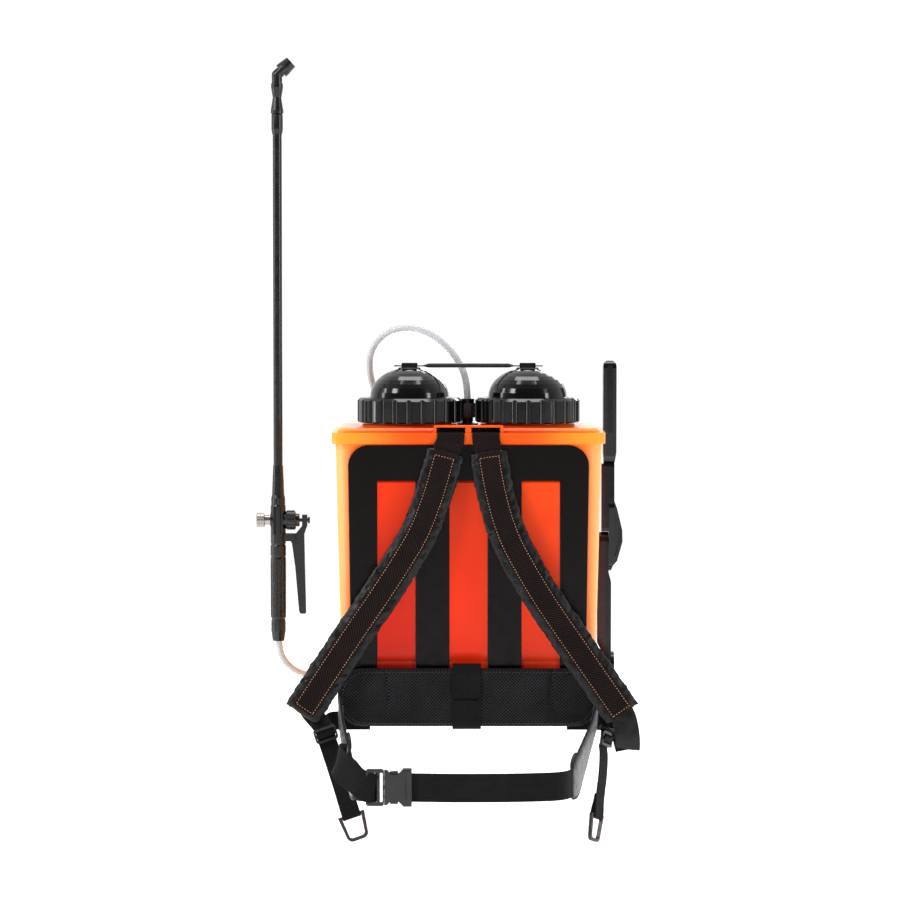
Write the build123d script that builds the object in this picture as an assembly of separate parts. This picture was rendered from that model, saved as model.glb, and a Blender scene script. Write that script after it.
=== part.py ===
"""Backpack sprayer: a two-cap tank with a lever pump inside, a hose and lance, and a padded harness.

Every piece is drawn from the tank: X runs across it, Y runs back from its flat front face, which
is the wearer's side, and Z runs up from its base. save() then moves each piece to the part's own
frame, whose origin is the middle of the lumbar pad's wearer-side face.
"""
from build123d import *
from math import atan2, cos, degrees, hypot, pi, radians, sin, tan
import os

os.makedirs("parts", exist_ok=True)

# Driving dimensions, in millimetres and degrees.
TANK_BASE_WIDTH = 342
TANK_TOP_WIDTH = 362
TANK_BASE_DEPTH = 164
TANK_TOP_DEPTH = 170
TANK_CORNER = 24
TANK_WALL = 3
FLANGE_BOTTOM = 379
FLANGE_TOP = 394
FLANGE_WIDTH = 370
FLANGE_OVERHANG = 6
DECK_TOP = 400
DECK_WIDTH = 356
WINDOW_WIDTH = 52
WINDOW_PITCH = 97.5
WINDOW_TOP = 329
LEDGE_Z = 97
PANEL_THICKNESS = 3

CAP_X = 81
CAP_Y = 85
NECK_TOP = 430
NECK_R = 58.5
NECK_BORE = 52
NUT_R = 72
NUT_BOTTOM = 405
NUT_TOP = 439
NUT_RIBS = 24
DOME_R = 55.5
DOME_TOP = 480
SEAT_GASKET = 431.5
SEAT_DOME = 433

FITTING_X = -1.5
FITTING_Y = 110
HOSE_D = 9.5

SHAFT_Y = 125
SHAFT_Z = 65
SHAFT_R = 8
CRANK_THROW = 40
PISTON_Z = 165
CYLINDER_BORE = 21
CHAMBER_R = 36

LEVER_IN = 187
LEVER_OUT = 202
ARM_IN = 178
ARM_OUT = 197.5
STEM_IN = 184
CHEEK_IN = 194.4    # the folding lever's outer cheek runs beside the arm's top
GRIP_IN = 186
GRIP_OUT = 204.5
LEVER_TOP = 489
FOLD_Z = 235

LANCE_X = -262
LANCE_Y = 85
LANCE_TUBE_R = 6.3
LANCE_TUBE_BORE = 4.6
LANCE_TUBE_BOTTOM = 291.4
LANCE_TUBE_TOP = 822
VALVE_Z = 269.7
BOSS = 10.7
TRIGGER_PIVOT_X = -241.5
TRIGGER_PIVOT_Z = 246
ELBOW_Z = 880
NOZZLE_RISE = 42

PAD_FRONT_Y = -34
PAD_BACK_Y = -11
PAD_LOW = -3
PAD_HIGH = 79
PAD_HALF = 178
PAD_MID_Z = (PAD_LOW + PAD_HIGH) / 2
STRAP_TILT = 7.7
STRAP_TOP_Y = -12
STRAP_TOP_Z = 368
STRAP_WIDTH = 56
STRAP_BEND = 140
PANEL_WIDTH = 31
STRAP_THICK = 12
WEB_WIDTH = 37
WEB_THICK = 1.4
ANCHOR_X = 146
BELT_Y = -168
BELT_LOW = -81
BELT_HIGH = -43
BELT_THICK = 2.2
WING_X = 173
WING_REACH = 108
WING_THICK = 10
WING_TURN = {-1: 12, 1: 20}
TAIL_WIDTH = 25
RING_WIRE = 2.2

RUNNING = 0.05      # radial clearance of a shaft in its bush
TOUCHING = 0.05     # gap between neighbours that only touch
LOOSE = 0.4         # gap between neighbours that move apart

TO_ORIGIN = Location((0, -PAD_FRONT_Y, -PAD_MID_Z))


def save(name, shape):
    """Write one node, moved from the tank's frame to the part's own frame."""
    solids = shape if isinstance(shape, list) else [shape]
    node = Compound(children=[TO_ORIGIN * solid for solid in solids])
    export_step(node, f"parts/{name}.step")


# Shapes that repeat -----------------------------------------------------------------------------

def spin(points, x, y):
    """A turned piece: points are (radius, height) round a vertical axis at x, y."""
    outline = make_face(Polyline(*[(r, 0, h) for r, h in points], close=True))
    return Pos(x, y, 0) * revolve(outline, Axis.Z, 360)


def spin_along(points, start, direction):
    """A turned piece on a slanted axis: points are (radius, distance along it from start)."""
    outline = make_face(Polyline(*[(r, 0, h) for r, h in points], close=True))
    return Plane(origin=start, z_dir=direction).location * revolve(outline, Axis.Z, 360)


def tube(outer, bore, x, y, low, high):
    """A plain vertical tube."""
    return spin([(bore, low), (outer, low), (outer, high), (bore, high)], x, y)


def rod(radius, start, end):
    """A plain round bar between two points."""
    along = Vector(*end) - Vector(*start)
    return Plane(origin=start, z_dir=along).location * Cylinder(
        radius, along.length, align=(Align.CENTER, Align.CENTER, Align.MIN))


def block(x0, x1, y0, y1, z0, z1):
    """A plain box between two corners."""
    middle = Pos((x0 + x1) / 2, (y0 + y1) / 2, (z0 + z1) / 2)
    return middle * Box(x1 - x0, y1 - y0, z1 - z0)


def slab(width, depth, corner, x, y, low, high):
    """A flat plate with round corners, from low to high."""
    return Pos(x, y, low) * extrude(RectangleRounded(width, depth, corner), high - low)


# Tank -------------------------------------------------------------------------------------------

def tank_loft(shrink, low):
    """The tank's tapered body, shrunk by a wall on every side and starting at low."""
    base = RectangleRounded(
        TANK_BASE_WIDTH - 2 * shrink, TANK_BASE_DEPTH - 2 * shrink, TANK_CORNER - shrink)
    top = RectangleRounded(
        TANK_TOP_WIDTH - 2 * shrink, TANK_TOP_DEPTH - 2 * shrink, TANK_CORNER - shrink)
    return loft([Pos(0, TANK_BASE_DEPTH / 2, low) * base, Pos(0, TANK_TOP_DEPTH / 2, FLANGE_TOP) * top])


def window_island(x):
    """The tank wall stands forward through each panel window, and ends in a sloping ledge."""
    half = WINDOW_WIDTH / 2 - 0.5
    high = WINDOW_TOP - 0.5
    side = Polyline((0, LEDGE_Z - 13), (-2.5, LEDGE_Z), (-2.5, high - 2), (0, high), (1, high),
                    (1, LEDGE_Z - 13), close=True)
    return Plane(origin=(x - half, 0, 0), x_dir=(0, 1, 0), z_dir=(1, 0, 0)).location * extrude(
        make_face(side), 2 * half)


def make_tank():
    mid_y = TANK_TOP_DEPTH / 2
    flange = slab(FLANGE_WIDTH, TANK_TOP_DEPTH + 2 * FLANGE_OVERHANG, 16, 0, mid_y,
                  FLANGE_BOTTOM, FLANGE_TOP)
    body = tank_loft(0, 0) + flange
    for x in (-WINDOW_PITCH, 0, WINDOW_PITCH):
        body += window_island(x)
    body -= tank_loft(TANK_WALL, TANK_WALL)
    wall_x = TANK_BASE_WIDTH / 2
    body -= rod(14, (wall_x - 20, SHAFT_Y, SHAFT_Z), (wall_x + 20, SHAFT_Y, SHAFT_Z))
    for x in (-ANCHOR_X, ANCHOR_X):
        body += block(x - 14, x + 14, -6, 1, 2, 10)
    return body + bearing_post()


def make_deck():
    mid_y = TANK_TOP_DEPTH / 2
    deck_depth = TANK_TOP_DEPTH - 2
    deck = slab(DECK_WIDTH, deck_depth, 18, 0, mid_y, FLANGE_TOP, DECK_TOP)
    deck = chamfer(deck.faces().sort_by(Axis.Z)[-1].edges(), 3)
    bridge = block(-47, 47, -5, 14, FLANGE_TOP, DECK_TOP + 4)
    deck += fillet(bridge.edges().group_by(Axis.Z)[-1], 2)
    for x in (-CAP_X, CAP_X):
        deck += spin([(0, DECK_TOP - 1), (68, DECK_TOP - 1), (64, DECK_TOP + 3), (0, DECK_TOP + 3)],
                     x, CAP_Y)
        deck += spin([(0, DECK_TOP), (NECK_R, DECK_TOP), (NECK_R, 409), (60.3, 410.5), (60.3, 412),
                      (NECK_R, 413.5), (NECK_R, 418), (60.3, 419.5), (60.3, 421), (NECK_R, 422.5),
                      (NECK_R, NECK_TOP), (0, NECK_TOP)], x, CAP_Y)
    for x in (-CAP_X, CAP_X):
        deck -= rod(NECK_BORE, (x, CAP_Y, FLANGE_TOP - 5), (x, CAP_Y, NECK_TOP + 5))
    deck -= rod(7, (FITTING_X, FITTING_Y, 380), (FITTING_X, FITTING_Y, 420))
    for x0, x1 in ((-43.5, -4), (3.5, 43)):
        deck -= block(x0, x1, -20, 12, FLANGE_TOP - 1, DECK_TOP + 1.3)
    deck -= rod(2.02, (-46, 7.5, 397.6), (46, 7.5, 397.6))
    return deck


def make_panel():
    outline = Polyline((-158, 14), (158, 14), (163, 377), (-163, 377), close=True)
    face = make_face(outline)
    face = fillet(face.vertices().group_by(Axis.Y)[-1], 28)
    face = fillet(face.vertices().group_by(Axis.Y)[0], 14)
    for x in (-WINDOW_PITCH, 0, WINDOW_PITCH):
        face -= Pos(x, (WINDOW_TOP + 70) / 2) * RectangleRounded(WINDOW_WIDTH, WINDOW_TOP - 70, 2)
    plate = Plane.XZ.location * extrude(face, PANEL_THICKNESS)
    plate = chamfer(plate.faces().sort_by(Axis.Y)[0].edges(), 0.6)
    for x in (-139, 139):
        plate -= block(x - 13, x + 13, -PANEL_THICKNESS - 1, -1, 79.5, 88.5)
    return plate


# Caps -------------------------------------------------------------------------------------------

def make_ring_nut(x):
    """A screw collar with grip ribs: grooves between the ribs, and a lip over the dome's flange."""
    lip = SEAT_DOME + 2.2
    nut = spin([(61.5, NUT_BOTTOM), (NUT_R - 2, NUT_BOTTOM), (NUT_R, NUT_BOTTOM + 2),
                (NUT_R, NUT_TOP - 4), (NUT_R - 4, NUT_TOP), (DOME_R + 1.2, NUT_TOP),
                (DOME_R + 1.2, lip), (61.5, lip)], x, CAP_Y)
    for spot in PolarLocations(NUT_R + 2.2, NUT_RIBS):
        nut -= Pos(x, CAP_Y, (NUT_BOTTOM + NUT_TOP) / 2) * spot * Cylinder(4.6, 60)
    return nut


def make_dome(x):
    """A hollow dome on a short collar and a clamping flange, with a flat land for the strap block."""
    side = SEAT_DOME + 7
    rise = DOME_TOP - side
    steps = 10
    land = 14

    def bow(radius, height):
        arc = [(radius * cos(radians(90 * i / steps)), side + height * sin(radians(90 * i / steps)))
               for i in range(steps)]
        return [(r, h) for r, h in arc if r > land]

    wall = 3
    step = 1.3
    top = bow(DOME_R - step, rise)
    under = bow(DOME_R - step - wall, rise - wall)
    points = [(DOME_R - step - wall, SEAT_DOME), (60, SEAT_DOME), (60, SEAT_DOME + 1.8)]
    points += [(DOME_R, SEAT_DOME + 1.8), (DOME_R, side - 0.8), (DOME_R - step, side - 0.2)]
    points += top + [(land, DOME_TOP), (0, DOME_TOP), (0, DOME_TOP - wall - 1)] + under[::-1]
    return spin(points, x, CAP_Y) + make_clip(x)


def make_gaskets():
    """The two cap gaskets, one on each neck."""
    return [tube(59.5, 46, x, CAP_Y, SEAT_GASKET, SEAT_DOME) for x in (-CAP_X, CAP_X)]


def make_strainer():
    """The filler's basket, hung in the neck by its flange, with slots in the wall and floor."""
    x = -CAP_X
    low = 335
    wall = 1.6
    basket = spin([(0, low), (44, low), (50.5, NECK_TOP - 3), (50.5, NECK_TOP), (57, NECK_TOP),
                   (57, SEAT_GASKET), (49, SEAT_GASKET), (44 - wall, low + wall), (0, low + wall)],
                  x, CAP_Y)
    for spot in PolarLocations(46, 16):
        basket -= Pos(x, CAP_Y, 382) * spot * Box(24, 7, 70)
    for across in (-24, -12, 0, 12, 24):
        basket -= Pos(x + across, CAP_Y, low) * Box(5, 52, 8)
    return basket


def make_clip(x):
    """The moulded block on a dome that the link strap passes through."""
    clip = block(x - 11, x + 11, CAP_Y - 9, CAP_Y + 9, DOME_TOP, DOME_TOP + 6.5)
    clip = fillet(clip.edges().group_by(Axis.Z)[-1], 1.5)
    return clip - block(x - 15, x + 15, CAP_Y - 6, CAP_Y + 6, DOME_TOP + 1.2, DOME_TOP + 4)


def make_link_strap():
    """Flat ends through the clips, and a round middle between the domes."""
    mid = DOME_TOP + 2.6
    rope = rod(3, (-58, CAP_Y, mid), (58, CAP_Y, mid))
    flat = block(-102, 102, CAP_Y - 5.2, CAP_Y + 5.2, mid - 1.1, mid + 1.1)
    return rope + flat


# Pump -------------------------------------------------------------------------------------------

def make_pump_flange():
    """The plate that hangs the pump in its neck."""
    plate = tube(57, 12, CAP_X, CAP_Y, NECK_TOP, SEAT_GASKET)
    skirt = tube(20, 12, CAP_X, CAP_Y, 412, NECK_TOP)
    return plate + skirt


PORT_Y = 96
PORT_Z = 372
PORT_INWARD = Vector(CAP_X - CHAMBER_R - 8 - FITTING_X, PORT_Y - FITTING_Y, 0).normalized()


def make_air_chamber():
    """A pressure bottle above the cylinder, with a side port to the outlet pipe."""
    low = 254
    points = [(10, low), (CHAMBER_R - 4, low), (CHAMBER_R, low + 6), (CHAMBER_R, 398), (22, 412),
              (0, 412), (0, 408), (20, 408), (CHAMBER_R - 4, 395), (CHAMBER_R - 4, low + 8),
              (10, low + 4)]
    bottle = spin(points, CAP_X, CAP_Y)
    port_end = Vector(CAP_X - CHAMBER_R - 8, PORT_Y, PORT_Z)
    port = rod(7, port_end + PORT_INWARD * 12, port_end)
    return bottle + port - rod(3.2, port_end + PORT_INWARD * 25, port_end - PORT_INWARD)


def make_cylinder():
    """The barrel: the delivery valve's seat above, and a slotted skirt below that strains the inlet."""
    low = 118
    barrel = tube(CYLINDER_BORE + 3, CYLINDER_BORE, CAP_X, CAP_Y, low, 246)
    head = spin([(4, 240), (CYLINDER_BORE + 3, 240), (CYLINDER_BORE + 3, 254), (8, 254), (8, 250),
                 (4, 244)], CAP_X, CAP_Y)
    skirt = tube(CYLINDER_BORE + 5, CYLINDER_BORE + 1, CAP_X, CAP_Y, low - 22, low + 4)
    for spot in PolarLocations(CYLINDER_BORE + 3, 12):
        skirt -= Pos(CAP_X, CAP_Y, low - 11) * spot * Box(10, 4, 14)
    return barrel + head + skirt


def make_piston_head():
    """The piston's head, grooved for its seal, with the inlet valve's seat in it."""
    return spin([(4, PISTON_Z - 8), (CYLINDER_BORE - 0.8, PISTON_Z - 8),
                 (CYLINDER_BORE - 0.8, PISTON_Z - 3), (CYLINDER_BORE - 4, PISTON_Z - 3),
                 (CYLINDER_BORE - 4, PISTON_Z + 3), (CYLINDER_BORE - 0.8, PISTON_Z + 3),
                 (CYLINDER_BORE - 0.8, PISTON_Z + 8), (8, PISTON_Z + 8), (8, PISTON_Z + 4),
                 (4, PISTON_Z - 2)], CAP_X, CAP_Y)


def make_piston_seal():
    return tube(CYLINDER_BORE - RUNNING, CYLINDER_BORE - 4, CAP_X, CAP_Y, PISTON_Z - 3, PISTON_Z + 3)


def make_piston():
    """The head, and a tube down from it to a yoke, whose slot lets the crank pin swing."""
    stem = tube(8, 4, CAP_X, CAP_Y, 84, PISTON_Z - 8)
    stem -= rod(2.5, (CAP_X - 12, CAP_Y, 92), (CAP_X + 12, CAP_Y, 92))
    yoke = block(CAP_X - 8, CAP_X + 8, CAP_Y - 14, CAP_Y + 14, SHAFT_Z - 13, SHAFT_Z + 20)
    slot = block(CAP_X - 10, CAP_X + 10, CAP_Y - 9, CAP_Y + 9, SHAFT_Z - 5.6, SHAFT_Z + 5.6)
    return make_piston_head() + stem + yoke - slot


def make_crank():
    """The rocker arm keyed to the shaft, with the pin that works in the yoke's slot."""
    near = 60
    far = 70
    arm = rod(15, (near, SHAFT_Y, SHAFT_Z), (far, SHAFT_Y, SHAFT_Z))
    arm += block(near, far, SHAFT_Y - CRANK_THROW, SHAFT_Y, SHAFT_Z - 8, SHAFT_Z + 8)
    arm += rod(9, (near, SHAFT_Y - CRANK_THROW, SHAFT_Z), (far, SHAFT_Y - CRANK_THROW, SHAFT_Z))
    arm -= rod(SHAFT_R, (near - 1, SHAFT_Y, SHAFT_Z), (far + 1, SHAFT_Y, SHAFT_Z))
    pin_y = SHAFT_Y - CRANK_THROW
    return arm + rod(5, (near, pin_y, SHAFT_Z), (92, pin_y, SHAFT_Z))


def make_shaft():
    return rod(SHAFT_R, (44, SHAFT_Y, SHAFT_Z), (LEVER_OUT, SHAFT_Y, SHAFT_Z))


def make_shaft_bush():
    """The gland in the side wall that the shaft turns in, with a flange inside and a nut outside."""
    wall_x = TANK_BASE_WIDTH / 2 + 1
    bush = rod(13.8, (wall_x - 22, SHAFT_Y, SHAFT_Z), (wall_x + 10, SHAFT_Y, SHAFT_Z))
    bush += rod(20, (wall_x - 10, SHAFT_Y, SHAFT_Z), (wall_x - 4.5, SHAFT_Y, SHAFT_Z))
    bush += rod(19, (wall_x + 2.6, SHAFT_Y, SHAFT_Z), (wall_x + 10, SHAFT_Y, SHAFT_Z))
    bush -= rod(SHAFT_R + RUNNING, (wall_x - 30, SHAFT_Y, SHAFT_Z), (wall_x + 30, SHAFT_Y, SHAFT_Z))
    return bush


def bearing_post():
    """A post moulded on the tank's floor that holds the shaft's inner end."""
    post = block(46, 56, SHAFT_Y - 14, SHAFT_Y + 14, TANK_WALL, SHAFT_Z)
    post += rod(14, (46, SHAFT_Y, SHAFT_Z), (56, SHAFT_Y, SHAFT_Z))
    return post - rod(SHAFT_R + RUNNING, (40, SHAFT_Y, SHAFT_Z), (60, SHAFT_Y, SHAFT_Z))


def make_outlet_pipe():
    """From the air chamber's port across to the fitting on the deck."""
    start = (CAP_X - CHAMBER_R - 8, PORT_Y, PORT_Z)
    path = FilletPolyline(start, (FITTING_X, FITTING_Y, PORT_Z), (FITTING_X, FITTING_Y, 390), radius=14)
    ring = Plane(origin=path @ 0, z_dir=path % 0).location * (Circle(5) - Circle(3.2))
    return sweep(ring, path)


def make_outlet_fitting():
    """A flanged spigot through the deck: collar below, hose barb above."""
    return spin([(3, 390), (10, 390), (10, 393.9), (6.9, 394), (6.9, DECK_TOP), (15, DECK_TOP),
                 (15, 402.5), (8, 405), (8, 416), (5.5, 418), (5.5, 426), (3.4, 430), (3, 430)],
                FITTING_X, FITTING_Y)


def make_outlet_nut():
    nut = Pos(FITTING_X, FITTING_Y, 410) * extrude(RegularPolygon(10.6, 6), 20)
    nut += tube(9.6, 7, FITTING_X, FITTING_Y, 430, 436)
    nut -= rod(8.1, (FITTING_X, FITTING_Y, 405), (FITTING_X, FITTING_Y, 418.2))
    nut -= rod(5.7, (FITTING_X, FITTING_Y, 418), (FITTING_X, FITTING_Y, 430))
    return nut - rod(HOSE_D / 2, (FITTING_X, FITTING_Y, 430), (FITTING_X, FITTING_Y, 440))


# Pump lever -------------------------------------------------------------------------------------

def side_plate(points, near, far, round_by):
    """A plate drawn in the YZ plane, from near to far along X, with its corners rounded."""
    face = make_face(Polyline(*points, close=True))
    face = fillet(face.vertices(), round_by)
    return Plane(origin=(near, 0, 0), x_dir=(0, 1, 0), z_dir=(1, 0, 0)).location * extrude(face, far - near)


def seen_from_front(points, reach):
    """An outline in the XZ plane, drawn right through the lever: reach to each side of its middle."""
    middle = Plane(origin=(0, SHAFT_Y + reach, 0), x_dir=(1, 0, 0), z_dir=(0, -1, 0)).location
    return middle * extrude(make_face(Polyline(*points, close=True)), 2 * reach)


def make_lever_arm():
    """The lower arm, clamped on the shaft, up to the fold pin."""
    y = SHAFT_Y
    arm = side_plate([(y - 20, SHAFT_Z - 20), (y + 20, SHAFT_Z - 20), (y + 14, FOLD_Z + 16),
                      (y - 14, FOLD_Z + 16)], ARM_IN, ARM_OUT, 13)
    arm &= seen_from_front([(ARM_IN + 5, 40), (ARM_OUT, 40), (ARM_OUT, 182), (CHEEK_IN - LOOSE, 196),
                            (CHEEK_IN - LOOSE, 252), (ARM_IN + 3, 252), (ARM_IN, 190),
                            (ARM_IN, 98), (ARM_IN + 5, 88)], 30)
    arm += rod(20, (LEVER_IN - 3, y, SHAFT_Z), (LEVER_OUT, y, SHAFT_Z))
    arm -= rod(SHAFT_R, (ARM_IN, y, SHAFT_Z), (LEVER_OUT + 5, y, SHAFT_Z))
    return arm - rod(5, (LEVER_IN - 1, y, FOLD_Z), (LEVER_IN + 8, y, FOLD_Z))


def make_upper_lever():
    """The folding arm: an outer cheek over the fold pin, a stem above it and a rimmed bulge outside."""
    y = SHAFT_Y
    cheek = side_plate([(y - 15, FOLD_Z - 38), (y + 15, FOLD_Z - 38), (y + 15, FOLD_Z + 60),
                        (y - 15, FOLD_Z + 60)], CHEEK_IN, LEVER_OUT, 10)
    cheek &= seen_from_front([(CHEEK_IN, FOLD_Z - 38), (CHEEK_IN + 3, FOLD_Z - 38), (LEVER_OUT, FOLD_Z - 25),
                              (LEVER_OUT, FOLD_Z + 60), (CHEEK_IN, FOLD_Z + 60)], 20)
    stem = side_plate([(y - 13, FOLD_Z + 17), (y + 13, FOLD_Z + 17), (y + 11, 346), (y - 11, 346)],
                      STEM_IN, LEVER_OUT, 4)
    bulge = make_face(Polyline((LEVER_OUT - 1, 205), (206, 211), (213.5, 238), (213, 254),
                               (206, 283), (LEVER_OUT - 1, 297), close=True))
    bulge = fillet(bulge.vertices().group_by(Axis.X)[-1] + bulge.vertices().group_by(Axis.X)[-2], 8)
    bulge = Plane(origin=(0, y + 12, 0), x_dir=(1, 0, 0), z_dir=(0, -1, 0)).location * extrude(bulge, 24)
    dish = make_face(Polyline((LEVER_OUT - 2, 217), (204, 219), (210.3, 240), (210.3, 252),
                              (204, 275), (LEVER_OUT - 2, 282), close=True))
    for low, high in ((y - 20, y - 4), (y + 4, y + 20)):
        bulge -= Plane(origin=(0, high, 0), x_dir=(1, 0, 0), z_dir=(0, -1, 0)).location * extrude(
            dish, high - low)
    lever = cheek + stem + bulge
    lever -= rod(5 + RUNNING, (LEVER_IN - 1, y, FOLD_Z), (LEVER_OUT - 1, y, FOLD_Z))
    core = block(191, 199, y - 6, y + 6, 343, 478)
    return lever + core


def make_lever_grip():
    """The moulded grip over the lever's end."""
    y = SHAFT_Y
    grip = side_plate([(y - 14, 346), (y + 14, 346), (y + 16, LEVER_TOP), (y - 16, LEVER_TOP)],
                      GRIP_IN, GRIP_OUT, 11)
    edge = make_face(Polyline((GRIP_IN + 1, 346), (GRIP_OUT - 2.5, 346), (GRIP_OUT, 362), (GRIP_OUT, LEVER_TOP),
                              (GRIP_IN, LEVER_TOP), (GRIP_IN, 362), close=True))
    edge = fillet(edge.vertices().group_by(Axis.Y)[-1], 8.5)
    grip &= Plane(origin=(0, y + 30, 0), x_dir=(1, 0, 0), z_dir=(0, -1, 0)).location * extrude(edge, 60)
    middle = (GRIP_IN + GRIP_OUT) / 2
    slot = Pos(middle, 430) * Rot(0, 0, 90) * SlotOverall(104, 8)
    for near, far in ((y - 20, y - 14.6), (y + 14.6, y + 20)):
        grip -= Plane(origin=(0, far, 0), x_dir=(1, 0, 0), z_dir=(0, -1, 0)).location * extrude(slot, far - near)
    return grip - block(191, 199, y - 6, y + 6, 340, 478)


def make_fold_pin():
    y = SHAFT_Y
    return rod(5, (LEVER_IN - 0.8, y, FOLD_Z), (LEVER_OUT - 2, y, FOLD_Z))


# Lance ------------------------------------------------------------------------------------------

def make_lance_tube():
    return tube(LANCE_TUBE_R, LANCE_TUBE_BORE, LANCE_X, LANCE_Y, LANCE_TUBE_BOTTOM, LANCE_TUBE_TOP)


def make_collet_nut():
    """The cone-shaped nut that grips the tube's lower end."""
    bore = LANCE_TUBE_R + RUNNING
    nut = spin([(bore, 291), (9.7, 291), (9.7, 300), (8.6, 304), (6.9, 345), (bore, 345)],
               LANCE_X, LANCE_Y)
    for spot in PolarLocations(10.4, 12):
        nut -= Pos(LANCE_X, LANCE_Y, 298) * spot * Cylinder(1.3, 20)
    return nut


def make_tip_adapter():
    """The sleeve over the tube's upper end, and the flared piece that carries the elbow."""
    return spin([(LANCE_TUBE_R, 799), (6.9, 799), (8, 806), (8, 825), (7.2, 827), (8.8, 827), (8.8, 832),
                 (6.1, 849), (3.2, 849), (3.2, LANCE_TUBE_TOP), (LANCE_TUBE_R, LANCE_TUBE_TOP)],
                LANCE_X, LANCE_Y)


def nozzle_axis():
    rise = radians(NOZZLE_RISE)
    return Vector(cos(rise), 0, sin(rise))


def nozzle_point(distance):
    """A point on the nozzle's slanted axis, measured from the elbow's middle."""
    return Vector(LANCE_X, LANCE_Y, ELBOW_Z) + nozzle_axis() * distance


def make_elbow():
    """The bent tip: a flared foot, a neck, and a slanted spigot inside the nozzle cap."""
    elbow = spin([(0, 849), (6.1, 849), (8.4, 863), (8.4, 868), (7.4, 868), (7.4, ELBOW_Z),
                  (0, ELBOW_Z)], LANCE_X, LANCE_Y)
    elbow += Pos(LANCE_X, LANCE_Y, ELBOW_Z) * Sphere(7.4)
    elbow += spin_along([(0, 0), (7.4, 0), (7.4, 7), (6, 7), (6, 16), (0, 16)],
                        nozzle_point(0), nozzle_axis())
    elbow -= rod(3, (LANCE_X, LANCE_Y, 840), (LANCE_X, LANCE_Y, ELBOW_Z))
    return elbow - rod(3, nozzle_point(-1), nozzle_point(20))


def make_nozzle_cap():
    """The ribbed cap that turns on the elbow and holds the tip."""
    cap = spin_along([(6.1, 7.4), (10.1, 7.4), (10.1, 13), (8.6, 26), (2.6, 26), (2.6, 23), (6.1, 20)],
                     nozzle_point(0), nozzle_axis())
    frame = Plane(origin=nozzle_point(0), z_dir=nozzle_axis()).location
    for spot in PolarLocations(10.9, 14):
        cap -= frame * Pos(0, 0, 14) * spot * Cylinder(1.4, 16)
    return cap


def make_nozzle_tip():
    """The orifice disc, seated in the cap."""
    return spin_along([(0.7, 18.2), (5.6, 18.2), (5.6, 20.2), (2.4, 22.8), (2.4, 25), (0.7, 25)],
                      nozzle_point(0), nozzle_axis())


def make_valve_body():
    """The trigger valve: an upright barrel with ribs, side bosses and the trigger's bracket."""
    low = 236
    x = LANCE_X
    body = spin([(0, low), (9.8, low), (10.5, low + 2), (10.5, 289), (9.7, 291), (0, 291)], x, LANCE_Y)
    body += rod(9, (x - BOSS, LANCE_Y, VALVE_Z), (x + BOSS, LANCE_Y, VALVE_Z))
    for side in (-1, 1):
        for shift in (-5.5, 0, 5.5):
            body += block(x + shift - 1.1, x + shift + 1.1, LANCE_Y + side * 9 - 2.4,
                          LANCE_Y + side * 9 + 2.4, VALVE_Z - 19, VALVE_Z + 19)
    ear = 6
    for side in (-1, 1):
        near = LANCE_Y + side * ear
        bracket = block(x + 8, TRIGGER_PIVOT_X + 3, min(near, near + side * 3),
                        max(near, near + side * 3), TRIGGER_PIVOT_Z - 5, TRIGGER_PIVOT_Z + 5)
        body += bracket
    body -= rod(4, (x, LANCE_Y, 200), (x, LANCE_Y, 300))
    body -= rod(6.4, (x - 4, LANCE_Y, VALVE_Z), (x + 14, LANCE_Y, VALVE_Z))
    body -= rod(5, (x - 14, LANCE_Y, VALVE_Z), (x - 4, LANCE_Y, VALVE_Z))
    pivot = (TRIGGER_PIVOT_X, LANCE_Y - 12, TRIGGER_PIVOT_Z)
    return body - rod(1.6, pivot, (TRIGGER_PIVOT_X, LANCE_Y + 12, TRIGGER_PIVOT_Z))


def make_valve_plug():
    """The nickel-plated gauge plug opposite the trigger."""
    x = LANCE_X
    plug = rod(10.1, (-291.6, LANCE_Y, VALVE_Z), (-280.3, LANCE_Y, VALVE_Z))
    plug = chamfer(plug.edges(), 0.8)
    for spot in PolarLocations(10.9, 20):
        across = Plane(origin=(-286, LANCE_Y, VALVE_Z), x_dir=(0, 1, 0), z_dir=(1, 0, 0)).location
        plug -= across * spot * Cylinder(1.2, 20)
    plug += rod(7, (-280.3, LANCE_Y, VALVE_Z), (x - BOSS, LANCE_Y, VALVE_Z))
    return plug + rod(5, (x - BOSS, LANCE_Y, VALVE_Z), (x - 5, LANCE_Y, VALVE_Z))


def make_bonnet():
    """The knurled nut that closes the valve and guides its stem."""
    near = LANCE_X + BOSS
    far = -237.6
    bonnet = rod(13.4, (near, LANCE_Y, VALVE_Z), (far, LANCE_Y, VALVE_Z))
    bonnet = chamfer(bonnet.edges(), 1.6)
    across = Plane(origin=(near, LANCE_Y, VALVE_Z), x_dir=(0, 1, 0), z_dir=(1, 0, 0)).location
    for spot in PolarLocations(14.2, 18):
        bonnet -= across * spot * Cylinder(1.6, 60)
    bonnet += rod(8.8, (far, LANCE_Y, VALVE_Z), (-232.5, LANCE_Y, VALVE_Z))
    bonnet += rod(6.4, (near - 4, LANCE_Y, VALVE_Z), (near, LANCE_Y, VALVE_Z))
    return bonnet - rod(2.5 + RUNNING, (near - 9, LANCE_Y, VALVE_Z), (-230, LANCE_Y, VALVE_Z))


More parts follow.
